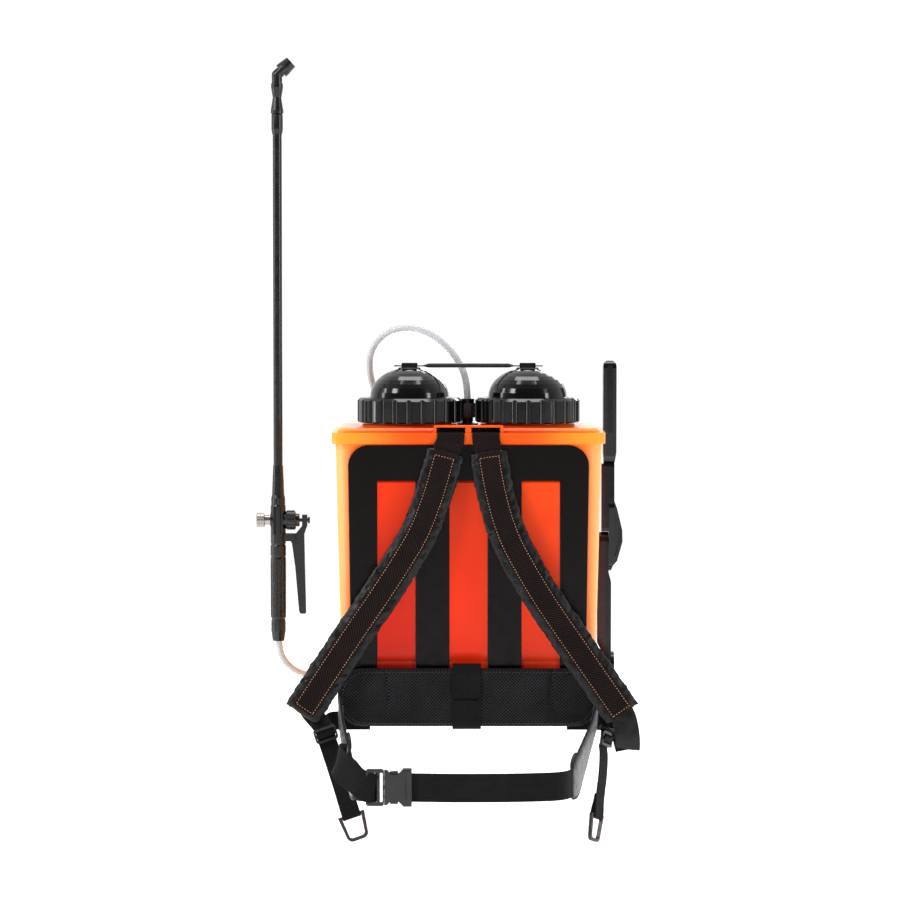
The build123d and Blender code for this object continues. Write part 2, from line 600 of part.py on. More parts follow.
def make_valve_stem():
    """The stem: a sealing disc inside, a rod through the bonnet and a head in the trigger's fork."""
    stem = rod(2.5, (LANCE_X - 1, LANCE_Y, VALVE_Z), (-222, LANCE_Y, VALVE_Z))
    stem += rod(5.2, (LANCE_X - 1, LANCE_Y, VALVE_Z), (LANCE_X + 1, LANCE_Y, VALVE_Z))
    return stem + rod(4.6, (-221.1, LANCE_Y, VALVE_Z), (-218.3, LANCE_Y, VALVE_Z)) + rod(
        2.5, (-223, LANCE_Y, VALVE_Z), (-221, LANCE_Y, VALVE_Z))


def make_trigger():
    """A bent lever: fork above the pivot round the stem, long finger blade below it."""
    y = LANCE_Y
    blade = make_face(Polyline((-246, 243), (-238, 251), (-229, 262), (-229, 277), (-222, 277),
                               (-222, 262), (-226, 250), (-225, 200), (-223.6, 142), (-225, 140.6),
                               (-231.6, 140.6), (-233.4, 144), (-238.5, 205), (-243, 238), close=True))
    blade = Plane(origin=(0, y + 5.5, 0), x_dir=(1, 0, 0), z_dir=(0, -1, 0)).location * extrude(blade, 11)
    blade -= block(-236, -215, y - 3.1, y + 3.1, 259, 280)
    pivot = (TRIGGER_PIVOT_X, y - 8, TRIGGER_PIVOT_Z)
    end = (TRIGGER_PIVOT_X, y + 8, TRIGGER_PIVOT_Z)
    blade += rod(4, (TRIGGER_PIVOT_X, y - 5.5, TRIGGER_PIVOT_Z), (TRIGGER_PIVOT_X, y + 5.5, TRIGGER_PIVOT_Z))
    return blade - rod(1.6 + RUNNING, pivot, end)


def make_trigger_pin():
    head = (TRIGGER_PIVOT_X, LANCE_Y - 10.5, TRIGGER_PIVOT_Z)
    pin = rod(1.6, (TRIGGER_PIVOT_X, LANCE_Y - 9, TRIGGER_PIVOT_Z),
              (TRIGGER_PIVOT_X, LANCE_Y + 9, TRIGGER_PIVOT_Z))
    return pin + rod(2.8, head, (TRIGGER_PIVOT_X, LANCE_Y - 9, TRIGGER_PIVOT_Z))


def make_grip():
    """The handle: a smooth ring, then a fluted barrel that holds the filter."""
    grip = spin([(6.6, 131), (9.6, 131), (9.6, 134), (10.8, 136), (10.8, 216), (10.2, 219),
                 (10.8, 221), (10.8, 234), (9.8, 236), (6.6, 236)], LANCE_X, LANCE_Y)
    for spot in PolarLocations(11.6, 12):
        grip -= Pos(LANCE_X, LANCE_Y, 176) * spot * Cylinder(1.7, 74)
    return grip


def make_lower_nut():
    """The nut that clamps the hose to the handle's foot."""
    nut = spin([(HOSE_D / 2, 103), (8.1, 103), (10.1, 116), (10.1, 131), (4, 131), (4, 122),
                (HOSE_D / 2, 120)], LANCE_X, LANCE_Y)
    for spot in PolarLocations(11, 10):
        nut -= Pos(LANCE_X, LANCE_Y, 124) * spot * Cylinder(1.6, 10)
    return nut


# Hose -------------------------------------------------------------------------------------------

HOSE_ROUTE = [
    (-1.5, 110, 430), (-1.5, 110, 455), (-10, 112, 483), (-30, 116, 510), (-58, 121, 530),
    (-90, 128, 536), (-118, 138, 526), (-137, 150, 502), (-139, 164, 470), (-128, 180, 432),
    (-102, 192, 394), (-62, 199, 358), (-10, 202, 328), (44, 203, 292), (90, 203, 244), (112, 203, 186),
    (104, 203, 126), (66, 202, 80), (12, 201, 54), (-46, 199, 45), (-104, 196, 41), (-156, 184, 42),
    (-194, 159, 44), (-221, 124, 50), (-240, 101, 59), (-254, 89, 73), (-262, 85, 92), (-262, 85, 120),
]


def route_radii(route):
    """The largest arc at each corner: 0.45 of the shorter run over the tangent of half the turn."""
    radii = []
    for before, here, after in zip(route, route[1:], route[2:]):
        run_in = Vector(*here) - Vector(*before)
        run_out = Vector(*after) - Vector(*here)
        turn = run_in.get_angle(run_out)
        radii.append(0.45 * min(run_in.length, run_out.length) / tan(radians(turn / 2)))
    return radii


def make_hose():
    radii = route_radii(HOSE_ROUTE)
    path = FilletPolyline(*HOSE_ROUTE, radius=radii)
    start = Plane(origin=path @ 0, z_dir=path % 0)
    hose = sweep(start.location * Circle(HOSE_D / 2), path)
    ideal = pi * (HOSE_D / 2) ** 2 * path.length
    print("hose radii", [round(r) for r in radii])
    print("hose length", round(path.length), "volume ratio", round(hose.volume / ideal, 4))
    return hose


# Harness ----------------------------------------------------------------------------------------

def strap_plane(offset):
    """The leaning plane of the shoulder straps, moved towards the wearer by offset."""
    lean = radians(STRAP_TILT)
    normal = Vector(0, -cos(lean), sin(lean))
    top = Vector(0, STRAP_TOP_Y, STRAP_TOP_Z) + normal * offset
    return Plane(origin=top, x_dir=(1, 0, 0), z_dir=normal)


STRAP_LINES = {
    -1: [(-31, 0), (-52, -85), (-98, -163), (-170, -268), (-224, -352)],
    1: [(27, 0), (38, -85), (88, -180), (150, -270), (207, -352)],
}


def strap_line(side, above, beyond, flap=None):
    """The strap's middle line in its own plane, longer by above at the top and beyond at the foot.

    A flap is a last point, where the webbing turns down past the foot.
    """
    points = [Vector(*point) for point in STRAP_LINES[side]]
    top = points[0] + (points[0] - points[1]).normalized() * above
    foot = points[-1] + (points[-1] - points[-2]).normalized() * beyond
    middle = [top, *points[1:-1], foot]
    radii = [STRAP_BEND] * (len(middle) - 2)
    if flap:
        return FilletPolyline(*middle, Vector(*flap), radius=radii + [20])
    return FilletPolyline(*middle, radius=radii)


def make_shoulder_pad(side):
    """A flat curved pad; the sewn ends are square."""
    face = trace(strap_line(side, 2, 0), STRAP_WIDTH)
    return strap_plane(-STRAP_THICK / 2).location * extrude(face, STRAP_THICK)


def make_shoulder_webbing(side):
    """Webbing from the anchor bar, over the flange, down the front of the pad and past its foot."""
    middle = -23.8 if side < 0 else 23.3
    bar_y = 7.5
    bar_z = 397.6
    outer = 2.05 + WEB_THICK
    front = -6.2 - WEB_THICK
    low = bar_z - outer
    across = Plane(origin=(middle - WEB_WIDTH / 2, 0, 0), x_dir=(0, 1, 0), z_dir=(1, 0, 0)).location
    loop = Pos(bar_y, bar_z) * (Circle(outer) - Circle(2.1))
    lead = Polyline((bar_y, low), (-6.2, low), (-6.2, 374), (-18.8, 374), (-18.8, 376), (front, 376),
                    (front, low + WEB_THICK), (bar_y, low + WEB_THICK), close=True)
    upper = across * extrude(loop + make_face(lead), WEB_WIDTH)
    line = strap_line(side, 12, 3, (214, -391)) if side > 0 else strap_line(side, 12, -7)
    face = trace(line, PANEL_WIDTH)
    return upper + strap_plane(STRAP_THICK / 2).location * extrude(face, WEB_THICK)


def make_lumbar_pad():
    face = RectangleRounded(2 * PAD_HALF, PAD_HIGH - PAD_LOW, 34)
    pad = Pos(0, PAD_BACK_Y, PAD_MID_Z) * Rot(90, 0, 0) * extrude(face, PAD_BACK_Y - PAD_FRONT_Y)
    return chamfer(pad.faces().sort_by(Axis.Y)[0].edges(), 5)


def wing_place(side):
    """Where a wing starts, at the lumbar pad's front face, turned in towards the buckle."""
    turn = WING_TURN[side]
    clear = WING_THICK / 2 * sin(radians(turn)) + TOUCHING
    return Pos(side * WING_X, PAD_FRONT_Y - clear, 0) * Rot(0, 0, -side * turn)


def make_belt_wing(side):
    """A padded side wing that slopes down and forward from the lumbar pad's end."""
    points = [(0, PAD_LOW + 8), (0, 44), (-22, 10), (-WING_REACH, BELT_HIGH + 4),
              (-WING_REACH, BELT_LOW - 2), (-84, BELT_LOW - 2)]
    face = fillet(make_face(Polyline(*points, close=True)).vertices(), 3)
    flat = Plane(origin=(-WING_THICK / 2, 0, 0), x_dir=(0, 1, 0), z_dir=(1, 0, 0)).location
    return wing_place(side) * flat * extrude(face, WING_THICK)


def belt_band(points, radii):
    """A band of belt webbing that stands on edge along a plan line."""
    line = FilletPolyline(*points, radius=radii) if radii else Line(*points)
    return Pos(0, 0, BELT_LOW) * extrude(trace(line, BELT_THICK), BELT_HIGH - BELT_LOW)


BUCKLE_LEFT = -134
BUCKLE_RIGHT = -74


def wing_end(side):
    """The middle of a wing's front end, just past it, where the belt's webbing is sewn in."""
    end = (wing_place(side) * Pos(0, -WING_REACH - TOUCHING, 0)).position
    return end.X, end.Y


def make_belt_left():
    x, y = wing_end(-1)
    slope = tan(radians(WING_TURN[-1]))
    return belt_band([(x, y), (x + (y - BELT_Y) * slope, BELT_Y), (BUCKLE_LEFT - 0.2, BELT_Y)], [10])


def make_belt_right():
    x, y = wing_end(1)
    slope = tan(radians(WING_TURN[1]))
    return belt_band([(BUCKLE_RIGHT + 1, BELT_Y), (50, BELT_Y), (110, BELT_Y + 1), (x - 20 * slope, y - 20),
                      (x, y)], [150, 30, 15])


def make_buckle_socket():
    """The buckle's fixed half: a flat sleeve with round scoops at both sides, and the webbing's end bar."""
    mid = (BELT_LOW + BELT_HIGH) / 2
    body = block(-110, -84, BELT_Y - 6, BELT_Y + 6, mid - 23, mid + 23)
    for side in (-1, 1):
        body -= Pos(-96.5, BELT_Y, mid + side * 27.5) * Rot(90, 0, 0) * Cylinder(10.5, 20)
    body += block(-86, BUCKLE_RIGHT, BELT_Y - 6.4, BELT_Y + 6.4, mid - 25, mid + 25)
    body = fillet(body.edges().filter_by(Axis.X), 3)
    body -= block(-111, -88, BELT_Y - 3, BELT_Y + 3, mid - 19, mid + 19)
    for low, high in ((mid + 18, mid + 30), (mid - 30, mid - 18)):
        body -= block(-104, -90, BELT_Y - 3, BELT_Y + 3, low, high)
    for face_y in (BELT_Y - 6.4, BELT_Y + 6.4):
        body -= block(-82.5, -80.5, face_y - 1.2, face_y + 1.2, mid - 21, mid + 21)
    return body


def make_buckle_plug():
    """The buckle's plug: a ladder frame for the webbing and a guide tongue."""
    mid = (BELT_LOW + BELT_HIGH) / 2
    frame = block(BUCKLE_LEFT, -110.4, BELT_Y - 4, BELT_Y + 4, mid - 24, mid + 24)
    frame = fillet(frame.edges().filter_by(Axis.Y), 3)
    for left, right in ((-130.5, -127), (-123, -119.5), (-115.6, -112.2)):
        frame -= block(left, right, BELT_Y - 10, BELT_Y + 10, mid - 19.5, mid + 19.5)
    tongue = block(-111, -92, BELT_Y - 2.4, BELT_Y + 2.4, mid - 3, mid + 3)
    return frame + tongue


def make_prong(side):
    """A spring prong whose head stands in the socket's side notch."""
    mid = (BELT_LOW + BELT_HIGH) / 2
    arm = block(-110.2, -92, BELT_Y - 2.2, BELT_Y + 2.2, mid + side * 12 - 2, mid + side * 12 + 2)
    low, high = sorted((mid + side * 10, mid + side * 21.5))
    return arm + block(-102.5, -92, BELT_Y - 2.2, BELT_Y + 2.2, low, high)


TAIL_TURN = {-1: 12, 1: 62}
RING_Z = -118
TAIL_Y = -52
TAIL_X = {-1: -157, 1: 172}
LOCK_SHIFT = {-1: -34.8, 1: 30}
LOCK_Z = {-1: -7, 1: -18}
LOCK_WIDTH = 31
LOCK_HEIGHT = 20
LOCK_THICK = 4


def tail_reach(side):
    """How far a tail's adjuster is from its pull ring."""
    return hypot(LOCK_SHIFT[side], LOCK_Z[side] - RING_Z)


def tail_lean(side):
    """How far the line from a pull ring to its adjuster leans, in degrees, within their upright plane."""
    return degrees(atan2(-LOCK_SHIFT[side], LOCK_Z[side] - RING_Z))


def tail_plane(side):
    """The plane of a tail and its adjuster, from the pull ring: X across the webbing, Y up along it."""
    turn = radians(TAIL_TURN[side])
    upright = Plane(origin=(TAIL_X[side], TAIL_Y, RING_Z), x_dir=(cos(turn), sin(turn), 0),
                    z_dir=(sin(turn), -cos(turn), 0))
    return upright.location * Rot(0, 0, tail_lean(side))


def make_ladder_locks():
    """The adjusters at the pads' feet: frames with two webbing slots."""
    face = RectangleRounded(LOCK_WIDTH, LOCK_HEIGHT, 4)
    for lift in (-4.4, 4.4):
        face -= Pos(0, lift) * RectangleRounded(LOCK_WIDTH - 5, 4, 1)
    plate = Pos(0, 0, -LOCK_THICK / 2) * extrude(face, LOCK_THICK)
    return [tail_plane(side) * Pos(0, tail_reach(side), 0) * plate for side in (-1, 1)]


LOWER_LINES = {
    -1: [(-133, -7.1), (-184, -7.1), (-190, -30), (-191, -56.4)],
    1: [(133, -7.1), (184, -7.1), (188.5, -22)],
}


def make_adjuster_webbings():
    """Each side's webbing: from the tank's lug to the adjuster, then its tail to the pull ring."""
    bands = []
    for side in (-1, 1):
        line = Polyline(*LOWER_LINES[side])
        bands.append(Pos(0, 0, -7.9) * extrude(trace(line, WEB_THICK), TAIL_WIDTH))
        bands.append(make_tail(side))
    return bands


def make_tail(side):
    """An adjuster's free end, straight down to a sewn loop round the pull ring's bar."""
    inner = RING_WIRE + LOOSE
    outer = inner + WEB_THICK
    sewn = 30
    flat = Polyline((-WEB_THICK, sewn), (WEB_THICK, sewn), (outer - 0.4, 4), (outer, 0), (-outer, 0),
                    (-outer + 0.4, 4), close=True)
    profile = make_face(flat) + Circle(outer) - Circle(inner)
    loop = Plane(origin=(-TAIL_WIDTH / 2, 0, 0), x_dir=(0, 0, -1), z_dir=(1, 0, 0)).location * extrude(
        profile, TAIL_WIDTH)
    top = tail_reach(side) - LOCK_HEIGHT / 2 - TOUCHING
    strip = block(-TAIL_WIDTH / 2, TAIL_WIDTH / 2, sewn - 6, top, -WEB_THICK / 2, WEB_THICK / 2)
    return tail_plane(side) * (loop + strip)


def make_ring(side):
    """A moulded pull ring: a round bar across the top and a tapering flat loop below it."""
    w = RING_WIRE
    outline = make_face(Polyline((-18.5, w), (-14, -34), (14, -34), (18.5, w), close=True))
    outline = fillet(outline.vertices().group_by(Axis.Y)[0], 8)
    inside = make_face(Polyline((-14, w + 1), (-10.6, -30), (10.6, -30), (14, w + 1), close=True))
    inside = fillet(inside.vertices().group_by(Axis.Y)[0], 5)
    loop = Rot(90, 0, 0) * Pos(0, 0, -w) * extrude(outline - inside, 2 * w)
    ring = loop + rod(w, (-16, 0, 0), (16, 0, 0))
    upright = Pos(TAIL_X[side], TAIL_Y, RING_Z) * Rot(0, 0, TAIL_TURN[side])
    return upright * Rot(0, -tail_lean(side), 0) * ring


# Assembly ---------------------------------------------------------------------------------------

PIECES = {
    "tank_body": make_tank(),
    "tank_deck": make_deck(),
    "back_panel": make_panel(),
    "strap_anchor_bar": rod(2, (-46, 7.5, 397.6), (46, 7.5, 397.6)),
    "filler_strainer": make_strainer(),
    "cap_gaskets": make_gaskets(),
    "filler_dome": make_dome(-CAP_X),
    "filler_ring_nut": make_ring_nut(-CAP_X),
    "pump_flange": make_pump_flange(),
    "pump_dome": make_dome(CAP_X),
    "pump_ring_nut": make_ring_nut(CAP_X),
    "cap_link_strap": make_link_strap(),
    "air_chamber": make_air_chamber(),
    "pump_cylinder": make_cylinder(),
    "delivery_ball": Pos(CAP_X, CAP_Y, 250.4) * Sphere(5.6),
    "inlet_ball": Pos(CAP_X, CAP_Y, PISTON_Z + 6.4) * Sphere(5.6),
    "piston": make_piston(),
    "piston_seal": make_piston_seal(),
    "crank_arm": make_crank(),
    "pump_shaft": make_shaft(),
    "shaft_bush": make_shaft_bush(),
    "outlet_pipe": make_outlet_pipe(),
    "outlet_fitting": make_outlet_fitting(),
    "outlet_hose_nut": make_outlet_nut(),
    "lever_arm": make_lever_arm(),
    "fold_pin": make_fold_pin(),
    "upper_lever": make_upper_lever(),
    "lever_grip": make_lever_grip(),
    "lance_tube": make_lance_tube(),
    "lance_collet_nut": make_collet_nut(),
    "tip_adapter": make_tip_adapter(),
    "nozzle_elbow": make_elbow(),
    "nozzle_cap": make_nozzle_cap(),
    "nozzle_tip": make_nozzle_tip(),
    "valve_body": make_valve_body(),
    "valve_plug": make_valve_plug(),
    "valve_bonnet": make_bonnet(),
    "valve_stem": make_valve_stem(),
    "trigger_lever": make_trigger(),
    "trigger_pin": make_trigger_pin(),
    "lance_grip": make_grip(),
    "handle_hose_nut": make_lower_nut(),
    "hose": make_hose(),
    "lumbar_pad": make_lumbar_pad(),
    "ladder_locks": make_ladder_locks(),
    "adjuster_webbings": make_adjuster_webbings(),
    "belt_webbing_left": make_belt_left(),
    "belt_webbing_right": make_belt_right(),
    "buckle_socket": make_buckle_socket(),
    "buckle_plug": make_buckle_plug(),
    "buckle_prong_upper": make_prong(1),
    "buckle_prong_lower": make_prong(-1),
}

for label, side in (("left", -1), ("right", 1)):
    PIECES[f"shoulder_pad_{label}"] = make_shoulder_pad(side)
    PIECES[f"shoulder_webbing_{label}"] = make_shoulder_webbing(side)
    PIECES[f"belt_wing_{label}"] = make_belt_wing(side)
    PIECES[f"pull_ring_{label}"] = make_ring(side)

for name, shape in PIECES.items():
    save(name, shape)
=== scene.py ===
import math

import bmesh
import bpy
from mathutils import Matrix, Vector, noise
from mathutils.bvhtree import BVHTree


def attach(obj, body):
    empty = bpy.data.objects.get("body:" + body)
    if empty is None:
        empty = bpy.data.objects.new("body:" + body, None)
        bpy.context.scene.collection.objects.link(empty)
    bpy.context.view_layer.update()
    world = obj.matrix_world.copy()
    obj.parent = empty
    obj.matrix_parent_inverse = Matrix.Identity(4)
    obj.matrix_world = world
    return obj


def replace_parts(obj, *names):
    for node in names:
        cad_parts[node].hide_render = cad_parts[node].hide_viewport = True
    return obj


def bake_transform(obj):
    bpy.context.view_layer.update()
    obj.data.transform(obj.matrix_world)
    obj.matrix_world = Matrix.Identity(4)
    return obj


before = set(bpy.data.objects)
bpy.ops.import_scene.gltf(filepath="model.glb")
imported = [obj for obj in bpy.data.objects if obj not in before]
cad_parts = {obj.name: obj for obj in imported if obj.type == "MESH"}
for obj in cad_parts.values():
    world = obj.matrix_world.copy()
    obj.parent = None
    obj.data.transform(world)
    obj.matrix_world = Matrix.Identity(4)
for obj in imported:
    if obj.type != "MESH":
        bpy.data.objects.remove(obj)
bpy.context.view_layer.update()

# The tank's own frame: X across, Y back from its front face, Z up from its base, in millimetres.
TANK = Vector((0, 0.034, -0.038))
X = Vector((1, 0, 0))
Z = Vector((0, 0, 1))


def at(x, y, z):
    """A point of the tank's frame, in metres, in the shared frame."""
    return Vector((x, y, z)) * 0.001 + TANK


# Camera -------------------------------------------------------------------------------------------

camera = bpy.data.objects.new("camera", bpy.data.cameras.new("camera"))
bpy.context.scene.collection.objects.link(camera)
camera.location = at(0, -4500, 604)
camera.rotation_euler = (at(-25, 0, 370) - camera.location).to_track_quat("-Z", "Y").to_euler()
camera.data.lens = 133.4
camera.data.sensor_width = 36
camera.data.clip_end = 60
bpy.context.scene.camera = camera


# Node helpers -------------------------------------------------------------------------------------

def material(name, **values):
    """A Principled material. Sockets are given by name, with _ for a space."""
    made = bpy.data.materials.new(name)
    made.use_nodes = True
    shader = made.node_tree.nodes["Principled BSDF"]
    for key, value in values.items():
        shader.inputs[key.replace("_", " ")].default_value = value
    return made


def node(made, kind, inputs=None, **settings):
    """A node whose inputs are numbers, colours or other nodes' sockets."""
    tree = made.node_tree
    new = tree.nodes.new(kind)
    for key, value in settings.items():
        setattr(new, key, value)
    for key, value in (inputs or {}).items():
        if isinstance(value, bpy.types.NodeSocket):
            tree.links.new(value, new.inputs[key])
        else:
            new.inputs[key].default_value = value
    return new


def calc(made, operation, a, b=0.0, clamp=False):
    return node(made, "ShaderNodeMath", {0: a, 1: b}, operation=operation, use_clamp=clamp).outputs[0]


def ramp(made, value, low, high, start=0.0, end=1.0):
    """A smooth step from start to end as value goes from low to high."""
    return node(made, "ShaderNodeMapRange",
                {"Value": value, "From Min": low, "From Max": high, "To Min": start, "To Max": end},
                interpolation_type="SMOOTHSTEP").outputs["Result"]


def mix_colour(made, factor, a, b):
    """Mixes two colours."""
    new = made.node_tree.nodes.new("ShaderNodeMix")
    new.data_type = "RGBA"
    for index, value in ((0, factor), (6, a), (7, b)):
        if isinstance(value, bpy.types.NodeSocket):
            made.node_tree.links.new(value, new.inputs[index])
        else:
            new.inputs[index].default_value = value
    return new.outputs[2]


def place(made, scale=1.0):
    """Object coordinates, scaled."""
    coords = node(made, "ShaderNodeTexCoord").outputs["Object"]
    return node(made, "ShaderNodeVectorMath", {0: coords, "Scale": scale}, operation="SCALE").outputs[0]


def parts(made, vector):
    return node(made, "ShaderNodeSeparateXYZ", {0: vector}).outputs


def grain(made, scale, detail=3.0, rough=0.5, vector=None):
    """Noise over the surface, scale in blobs per metre."""
    if vector is None:
        vector = node(made, "ShaderNodeTexCoord").outputs["Object"]
    return node(made, "ShaderNodeTexNoise",
                {"Vector": vector, "Scale": scale, "Detail": detail, "Roughness": rough}).outputs["Fac"]


def finish_material(made, colour=None, rough=None, bumps=()):
    """Links colour and roughness, and stacks (height socket, distance in metres, strength) bumps."""
    tree = made.node_tree
    shader = tree.nodes["Principled BSDF"]
    if colour is not None:
        tree.links.new(colour, shader.inputs["Base Color"])
    if rough is not None:
        tree.links.new(rough, shader.inputs["Roughness"])
    normal = None
    for height, distance, strength in bumps:
        values = {"Height": height, "Distance": distance, "Strength": strength}
        if normal is not None:
            values["Normal"] = normal
        normal = node(made, "ShaderNodeBump", values).outputs[0]
    if normal is not None:
        tree.links.new(normal, shader.inputs["Normal"])
    return made


# Materials ----------------------------------------------------------------------------------------

def tank_material():
    """Glossy translucent orange with painted light: red in its depth and as painted shade, orange painted
    brighter towards the top and the right, and amber painted as a glow where light comes through the corners
    and rim.
    """
    made = material("tank_orange", Specular_IOR_Level=0.18, Subsurface_Weight=0.1, Subsurface_Scale=0.012)
    made.node_tree.nodes["Principled BSDF"].inputs["Subsurface Radius"].default_value = (1.0, 0.3, 0.06)
    x, y, z = parts(made, place(made))[:3]
    wide = calc(made, "ABSOLUTE", x)
    depth_and_shade_red = (0.80, 0.014, 0.004, 1)
    lit_orange = (0.94, 0.066, 0.006, 1)
    amber = (0.98, 0.46, 0.15, 1)
    # The rim is painted amber towards its ends and redder in its middle: a painted glow of light coming
    # through it.
    rim = mix_colour(made, ramp(made, wide, 0.07, 0.18), (0.84, 0.10, 0.008, 1), (0.95, 0.36, 0.035, 1))
    # Painted light: the orange is painted brighter towards the top and the right side, and left as shaded red
    # below and to the left.
    painted_light = calc(made, "ADD", ramp(made, z, -0.06, 0.36, 0.0, 0.6), ramp(made, x, -0.15, 0.15, 0.0, 0.45))
    cloud = ramp(made, grain(made, 9, 2.0), 0.3, 0.7, 0.75, 1.1)
    inner = mix_colour(made, calc(made, "MULTIPLY", painted_light, cloud, True), depth_and_shade_red, lit_orange)
    # The sides are painted amber: a painted glow where light comes through the corners.
    edge = ramp(made, wide, 0.150, 0.176)
    sides = mix_colour(made, edge, inner, amber)
    high = ramp(made, z, 0.322, 0.346)
    outer = calc(made, "MAXIMUM", ramp(made, y, 0.046, 0.030), ramp(made, wide, 0.170, 0.182))
    colour = mix_colour(made, calc(made, "MULTIPLY", high, calc(made, "MAXIMUM", outer, 0.3)), sides, rim)
    mark = grain(made, 240, 4.0)
    rough = ramp(made, mark, 0.3, 0.8, 0.14, 0.28)
    return finish_material(made, colour, rough, [(grain(made, 30, 2.0), 0.0015, 0.08)])


def moulded(name, dark, light, low, high, size=900, depth=0.0001, **extra):
    """Moulded plastic: a faint grain, soft colour variation and uneven gloss."""
    made = material(name, **extra)
    broad = grain(made, 14, 3.0)
    fine = grain(made, size, 3.0)
    colour = mix_colour(made, broad, dark, light)
    rough = ramp(made, grain(made, 60, 4.0), 0.3, 0.7, low, high)
    return finish_material(made, colour, rough, [(fine, depth, 0.25), (broad, 0.001, 0.08)])


def lever_material():
    """Glossy black, with a painted reflection of the tank's orange: dark red painted on the side that faces
    it.
    """
    made = moulded("lever_black", (0.0018, 0.0012, 0.0012, 1), (0.005, 0.0035, 0.0035, 1), 0.12, 0.2,
                   600, 0.00004, Specular_IOR_Level=0.55)
    tint = made.node_tree.nodes["Principled BSDF"].inputs["Base Color"]
    x, y, z = parts(made, place(made))[:3]
    # Painted reflection: the side facing the tank is painted dark red.
    beside = calc(made, "MULTIPLY", ramp(made, x, 0.191, 0.187), ramp(made, z, 0.39, 0.34))
    glow = mix_colour(made, beside, tint.links[0].from_socket, (0.035, 0.002, 0.0012, 1))
    made.node_tree.links.new(glow, tint)
    return made


def metal(name, colour, low, high):
    made = material(name, Metallic=1.0)
    brushed = node(made, "ShaderNodeVectorMath", {0: place(made, 1.0), 1: (1, 1, 0.12)},
                   operation="MULTIPLY").outputs[0]
    streak = grain(made, 1800, 2.0, 0.6, brushed)
    tone = mix_colour(made, grain(made, 40), [c * 0.75 for c in colour[:3]] + [1], colour)
    return finish_material(made, tone, ramp(made, streak, 0.3, 0.7, low, high), [(streak, 0.00005, 0.3)])


def webbing_material(name, dark, light, pitch=0.0026, band=0.0092):
    """Herringbone webbing: ribs run along the band (v) and change slant across it (u)."""
    made = material(name, Specular_IOR_Level=0.12)
    across, along = parts(made, node(made, "ShaderNodeTexCoord").outputs["UV"])[:2]
    zig = node(made, "ShaderNodeMath", {0: across, 1: band / 2}, operation="PINGPONG").outputs[0]
    phase = calc(made, "MULTIPLY", calc(made, "ADD", along, zig), 2 * math.pi / pitch)
    rib = ramp(made, calc(made, "SINE", phase), -1, 1)
    thread = ramp(made, calc(made, "SINE", calc(made, "MULTIPLY", across, 2 * math.pi / 0.0013)), -1, 1)
    weave = calc(made, "MULTIPLY", rib, calc(made, "ADD", calc(made, "MULTIPLY", thread, 0.4), 0.6))
    fuzz = grain(made, 1500, 3.0)
    worn = calc(made, "MULTIPLY", weave, ramp(made, grain(made, 35, 4.0), 0.25, 0.75, 0.6, 1.0))
    colour = mix_colour(made, worn, dark, light)
    return finish_material(made, colour, ramp(made, fuzz, 0.2, 0.8, 0.55, 0.8),
                           [(weave, 0.0006, 0.8), (fuzz, 0.0001, 0.3)])


def nylon_material(name, dark, light, low=0.34, high=0.55, depth=0.004):
    """Coated nylon: a fine plain weave and soft puckers, with a painted highlight where the puckers rise."""
    made = material(name, Sheen_Weight=0.02, Sheen_Roughness=0.35, Specular_IOR_Level=0.32)
    x, y, z = parts(made, place(made, 2 * math.pi / 0.0011))[:3]
    weave = calc(made, "MULTIPLY", calc(made, "SINE", calc(made, "ADD", x, y)), calc(made, "SINE", z))
    pucker = grain(made, 70, 3.0, 0.55)
    # Painted highlight: the colour is lighter where the puckers rise, standing in for the light they catch.
    colour = mix_colour(made, ramp(made, pucker, 0.35, 0.7), dark, light)
    return finish_material(made, colour, ramp(made, pucker, 0.3, 0.7, low, high),
                           [(pucker, depth, 0.35), (ramp(made, weave, -1, 1), 0.0001, 0.35)])


def mesh_material():
    """Spacer mesh: a diamond net of raised threads over holes painted near-black as shade."""
    made = material("spacer_mesh", Specular_IOR_Level=0.1)
    x, y, z = parts(made, place(made))[:3]
    side = calc(made, "ADD", x, calc(made, "MULTIPLY", y, 0.8))
    turn = 2 * math.pi / 0.0046
    a = calc(made, "SINE", calc(made, "MULTIPLY", calc(made, "ADD", side, z), turn))
    b = calc(made, "SINE", calc(made, "MULTIPLY", calc(made, "SUBTRACT", side, z), turn))
    net = ramp(made, calc(made, "MAXIMUM", a, b), -0.1, 0.9)
    fuzz = grain(made, 1200, 3.0)
    tone = calc(made, "MULTIPLY", net, ramp(made, grain(made, 22, 3.0), 0.3, 0.7, 0.65, 1.0))
    # Painted shade: the holes between the threads are painted near-black.
    colour = mix_colour(made, tone, (0.0002, 0.0002, 0.0002, 1), (0.030, 0.028, 0.031, 1))
    return finish_material(made, colour, ramp(made, fuzz, 0.2, 0.8, 0.6, 0.85),
                           [(net, 0.0009, 0.8), (fuzz, 0.0001, 0.3)])


def hose_material():
    """Clear plastic with a woven reinforcement inside."""
    made = material("hose_clear", Roughness=0.18, IOR=1.4, Transmission_Weight=0.2, Specular_IOR_Level=0.5)
    u, v = parts(made, node(made, "ShaderNodeTexCoord").outputs["UV"])[:2]
    run = calc(made, "MULTIPLY", u, 2 * math.pi * 150)
    turn = calc(made, "MULTIPLY", v, 2 * math.pi * 4)
    a = calc(made, "SINE", calc(made, "ADD", run, turn))
    b = calc(made, "SINE", calc(made, "SUBTRACT", run, turn))
    braid = ramp(made, calc(made, "MAXIMUM", a, b), 0.5, 0.95)
    haze = grain(made, 60, 2.0)
    base = mix_colour(made, haze, (0.62, 0.63, 0.66, 1), (0.76, 0.77, 0.79, 1))
    colour = mix_colour(made, calc(made, "MULTIPLY", braid, 0.2), base, (0.34, 0.35, 0.39, 1))
    return finish_material(made, colour, ramp(made, haze, 0.3, 0.7, 0.14, 0.3), [(braid, 0.0001, 0.1)])


